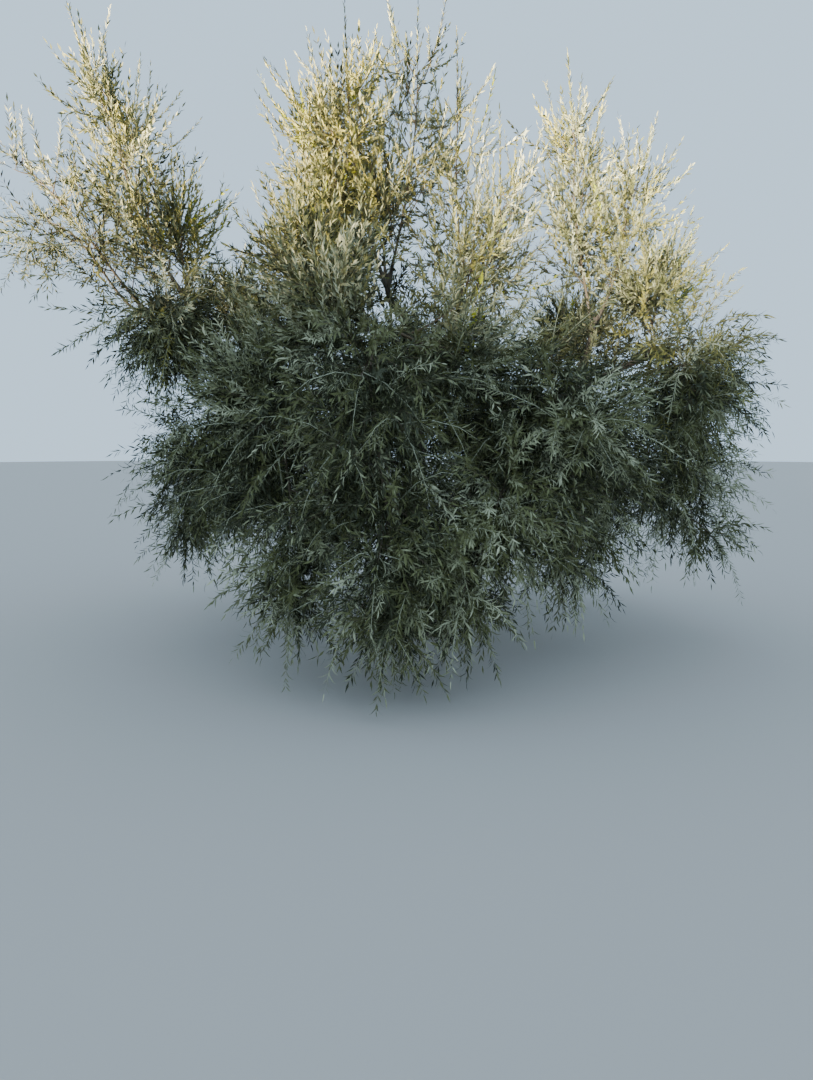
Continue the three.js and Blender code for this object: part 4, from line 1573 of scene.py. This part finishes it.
    @staticmethod
    def _vectors(mesh: bpy.types.Mesh, kind: str) -> Array:
        """The places or the normals of a mesh's corners, which kind names as "co" or "normal"."""
        numbers = np.empty(len(mesh.vertices) * 3, np.float32)
        mesh.vertices.foreach_get(kind, numbers)
        return numbers.reshape(-1, 3).astype(float)

    def _grain(self, corners: Array) -> tuple[Array, Array]:
        """Coordinates that run along the nearest limb and round it, shortened along it, and that limb's radius.

        Args:
            corners: the points to place.

        Returns:
            The coordinates, and the radius of the limb at each point.
        """
        best = np.full(len(corners), np.inf)
        grain = np.zeros_like(corners)
        radii = np.zeros(len(corners))
        for number, limb in enumerate(self.skeleton.wood):
            shares = np.linspace(0.0, 1.0, self.grain_steps)
            line = limb.curve.at(shares)
            nearest = np.argmin(np.linalg.norm(corners[:, None] - line, axis=2), axis=1)
            offsets = corners - line[nearest]
            share = shares[nearest]
            along = np.sum(offsets * limb.curve.tangents(share), axis=1)
            share = np.clip(share + along / limb.curve.length, 0.0, 1.0)
            offsets = corners - limb.curve.at(share)
            gaps = np.linalg.norm(offsets, axis=1) - limb.radius_at(share)
            closer = gaps < best
            best[closer] = gaps[closer]
            radii[closer] = limb.radius_at(share)[closer]
            side, square = self._frames(limb, share)
            turn = self.twist * share
            first, second = np.sum(offsets * side, axis=1), np.sum(offsets * square, axis=1)
            turned = first * np.cos(turn) - second * np.sin(turn), first * np.sin(turn) + second * np.cos(turn)
            along = share * limb.curve.length / self.stretch + number
            grain[closer] = np.stack([*turned, along], axis=1)[closer]
        return grain, radii

    def _relief(self, grain: Array, radii: Array) -> Array:
        """How far the skin stands out: slow swellings, and fissures between long plates."""
        swelling, swelling_size = self.swelling
        fissure, fissure_size = self.fissures
        slow = np.array([noise.noise(Vector(point / swelling_size)) for point in grain])
        fine = np.array([abs(noise.noise(Vector(point / fissure_size))) for point in grain])
        edge = self.fissure_edge
        return radii * (slow * swelling - np.maximum(0.0, edge - fine) * fissure / edge)


@dataclass(frozen=True)
class Strip:
    """A soft rectangular light with a narrow beam, where spread is the beam's opening in degrees."""

    name: str
    place: tuple[float, float, float]
    target: tuple[float, float, float]
    width: float
    height: float
    spread: float
    power: float
    colour: tuple[float, float, float]

    def build(self) -> None:
        """Adds the light."""
        light = bpy.data.lights.new(self.name, "AREA")
        light.shape = "RECTANGLE"
        light.size = self.width
        light.size_y = self.height
        light.spread = math.radians(self.spread)
        light.energy = self.power
        light.color = self.colour
        strip = bpy.data.objects.new(self.name, light)
        strip.location = self.place
        aim = Vector(self.target) - Vector(self.place)
        strip.rotation_euler = aim.to_track_quat("-Z", "Y").to_euler()
        bpy.context.scene.collection.objects.link(strip)


STRIPS = (
    Strip("key", (-10.5, -5.5, 3.9), (0.0, 0.0, 5.15), 8.0, 3.6, 12.0, 1450.0, (1.0, 0.85, 0.58)),
    Strip("right_fill", (-4.0, -10.5, 4.2), (2.1, 0.0, 3.45), 2.2, 1.7, 9.0, 100.0, (1.0, 0.92, 0.74)),
)


@dataclass
class Studio:
    """A plain pale floor, soft light and a camera at the photograph's viewing angle."""

    camera_place: tuple[float, float, float] = (-0.07, -6.6, 1.55)
    camera_pitch: float = -7.0
    photo_height: float = 1080.0
    focal_pixels: float = 811.0
    sensor: float = 36.0
    floor_reach: float = 60.0
    floor_sides: int = 96
    sky_colour: tuple[float, float, float] = (0.60, 0.80, 1.0)
    sky_strength: float = 1.27

    def build(self) -> None:
        """Adds the floor, the lights and the camera."""
        self._floor()
        self._sky()
        for strip in STRIPS:
            strip.build()
        self._camera()

    def _floor(self) -> None:
        """Adds the floor."""
        disc = bmesh.new()
        bmesh.ops.create_circle(disc, cap_ends=True, segments=self.floor_sides, radius=self.floor_reach)
        mesh = bpy.data.meshes.new("floor")
        disc.to_mesh(mesh)
        disc.free()
        mesh.materials.append(FLOOR_FINISH.material())
        floor = bpy.data.objects.new("floor", mesh)
        bpy.context.scene.collection.objects.link(floor)
        floor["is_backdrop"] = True

    def _sky(self) -> None:
        """Lights the scene from all round."""
        world = bpy.data.worlds.new("sky")
        world.use_nodes = True
        background = next(node for node in world.node_tree.nodes if node.type == "BACKGROUND")
        background.inputs["Color"].default_value = (*self.sky_colour, 1.0)
        background.inputs["Strength"].default_value = self.sky_strength
        bpy.context.scene.world = world

    def _camera(self) -> None:
        """Adds the camera, which looks along +Y and a little down."""
        data = bpy.data.cameras.new("camera")
        data.sensor_width = self.sensor
        data.lens = self.sensor * self.focal_pixels / self.photo_height
        camera = bpy.data.objects.new("camera", data)
        camera.location = self.camera_place
        camera.rotation_euler = (math.radians(90.0 + self.camera_pitch), 0.0, 0.0)
        bpy.context.scene.collection.objects.link(camera)
        bpy.context.scene.camera = camera


def write_sizes() -> None:
    """Works out the boxes of the solids and of the dressed tree."""
    boxes = {"cad": CAD_BOX, "visual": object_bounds()}
    rows = {name: [list(corner) for corner in box] for name, box in boxes.items()}


def main() -> None:
    """Builds the tree and its studio."""
    logging.basicConfig(level=logging.INFO, format="%(message)s")
    skeleton = Skeleton()
    growth = Growth(skeleton)
    leaf_finishes = [leaf_finish.material() for leaf_finish in LEAF_FINISHES]
    twig_finishes = [twig_finish.material() for twig_finish in TWIG_FINISHES]
    Wood(skeleton).build(BarkFinish().material())
    for plan in LIMBS:
        Foliage(plan.name, growth).build(leaf_finishes, twig_finishes)
    Olives(growth).build(OLIVE_SKIN.material(), twig_finishes[0])
    Studio().build()
    write_sizes()


if __name__ == "__main__":
    main()
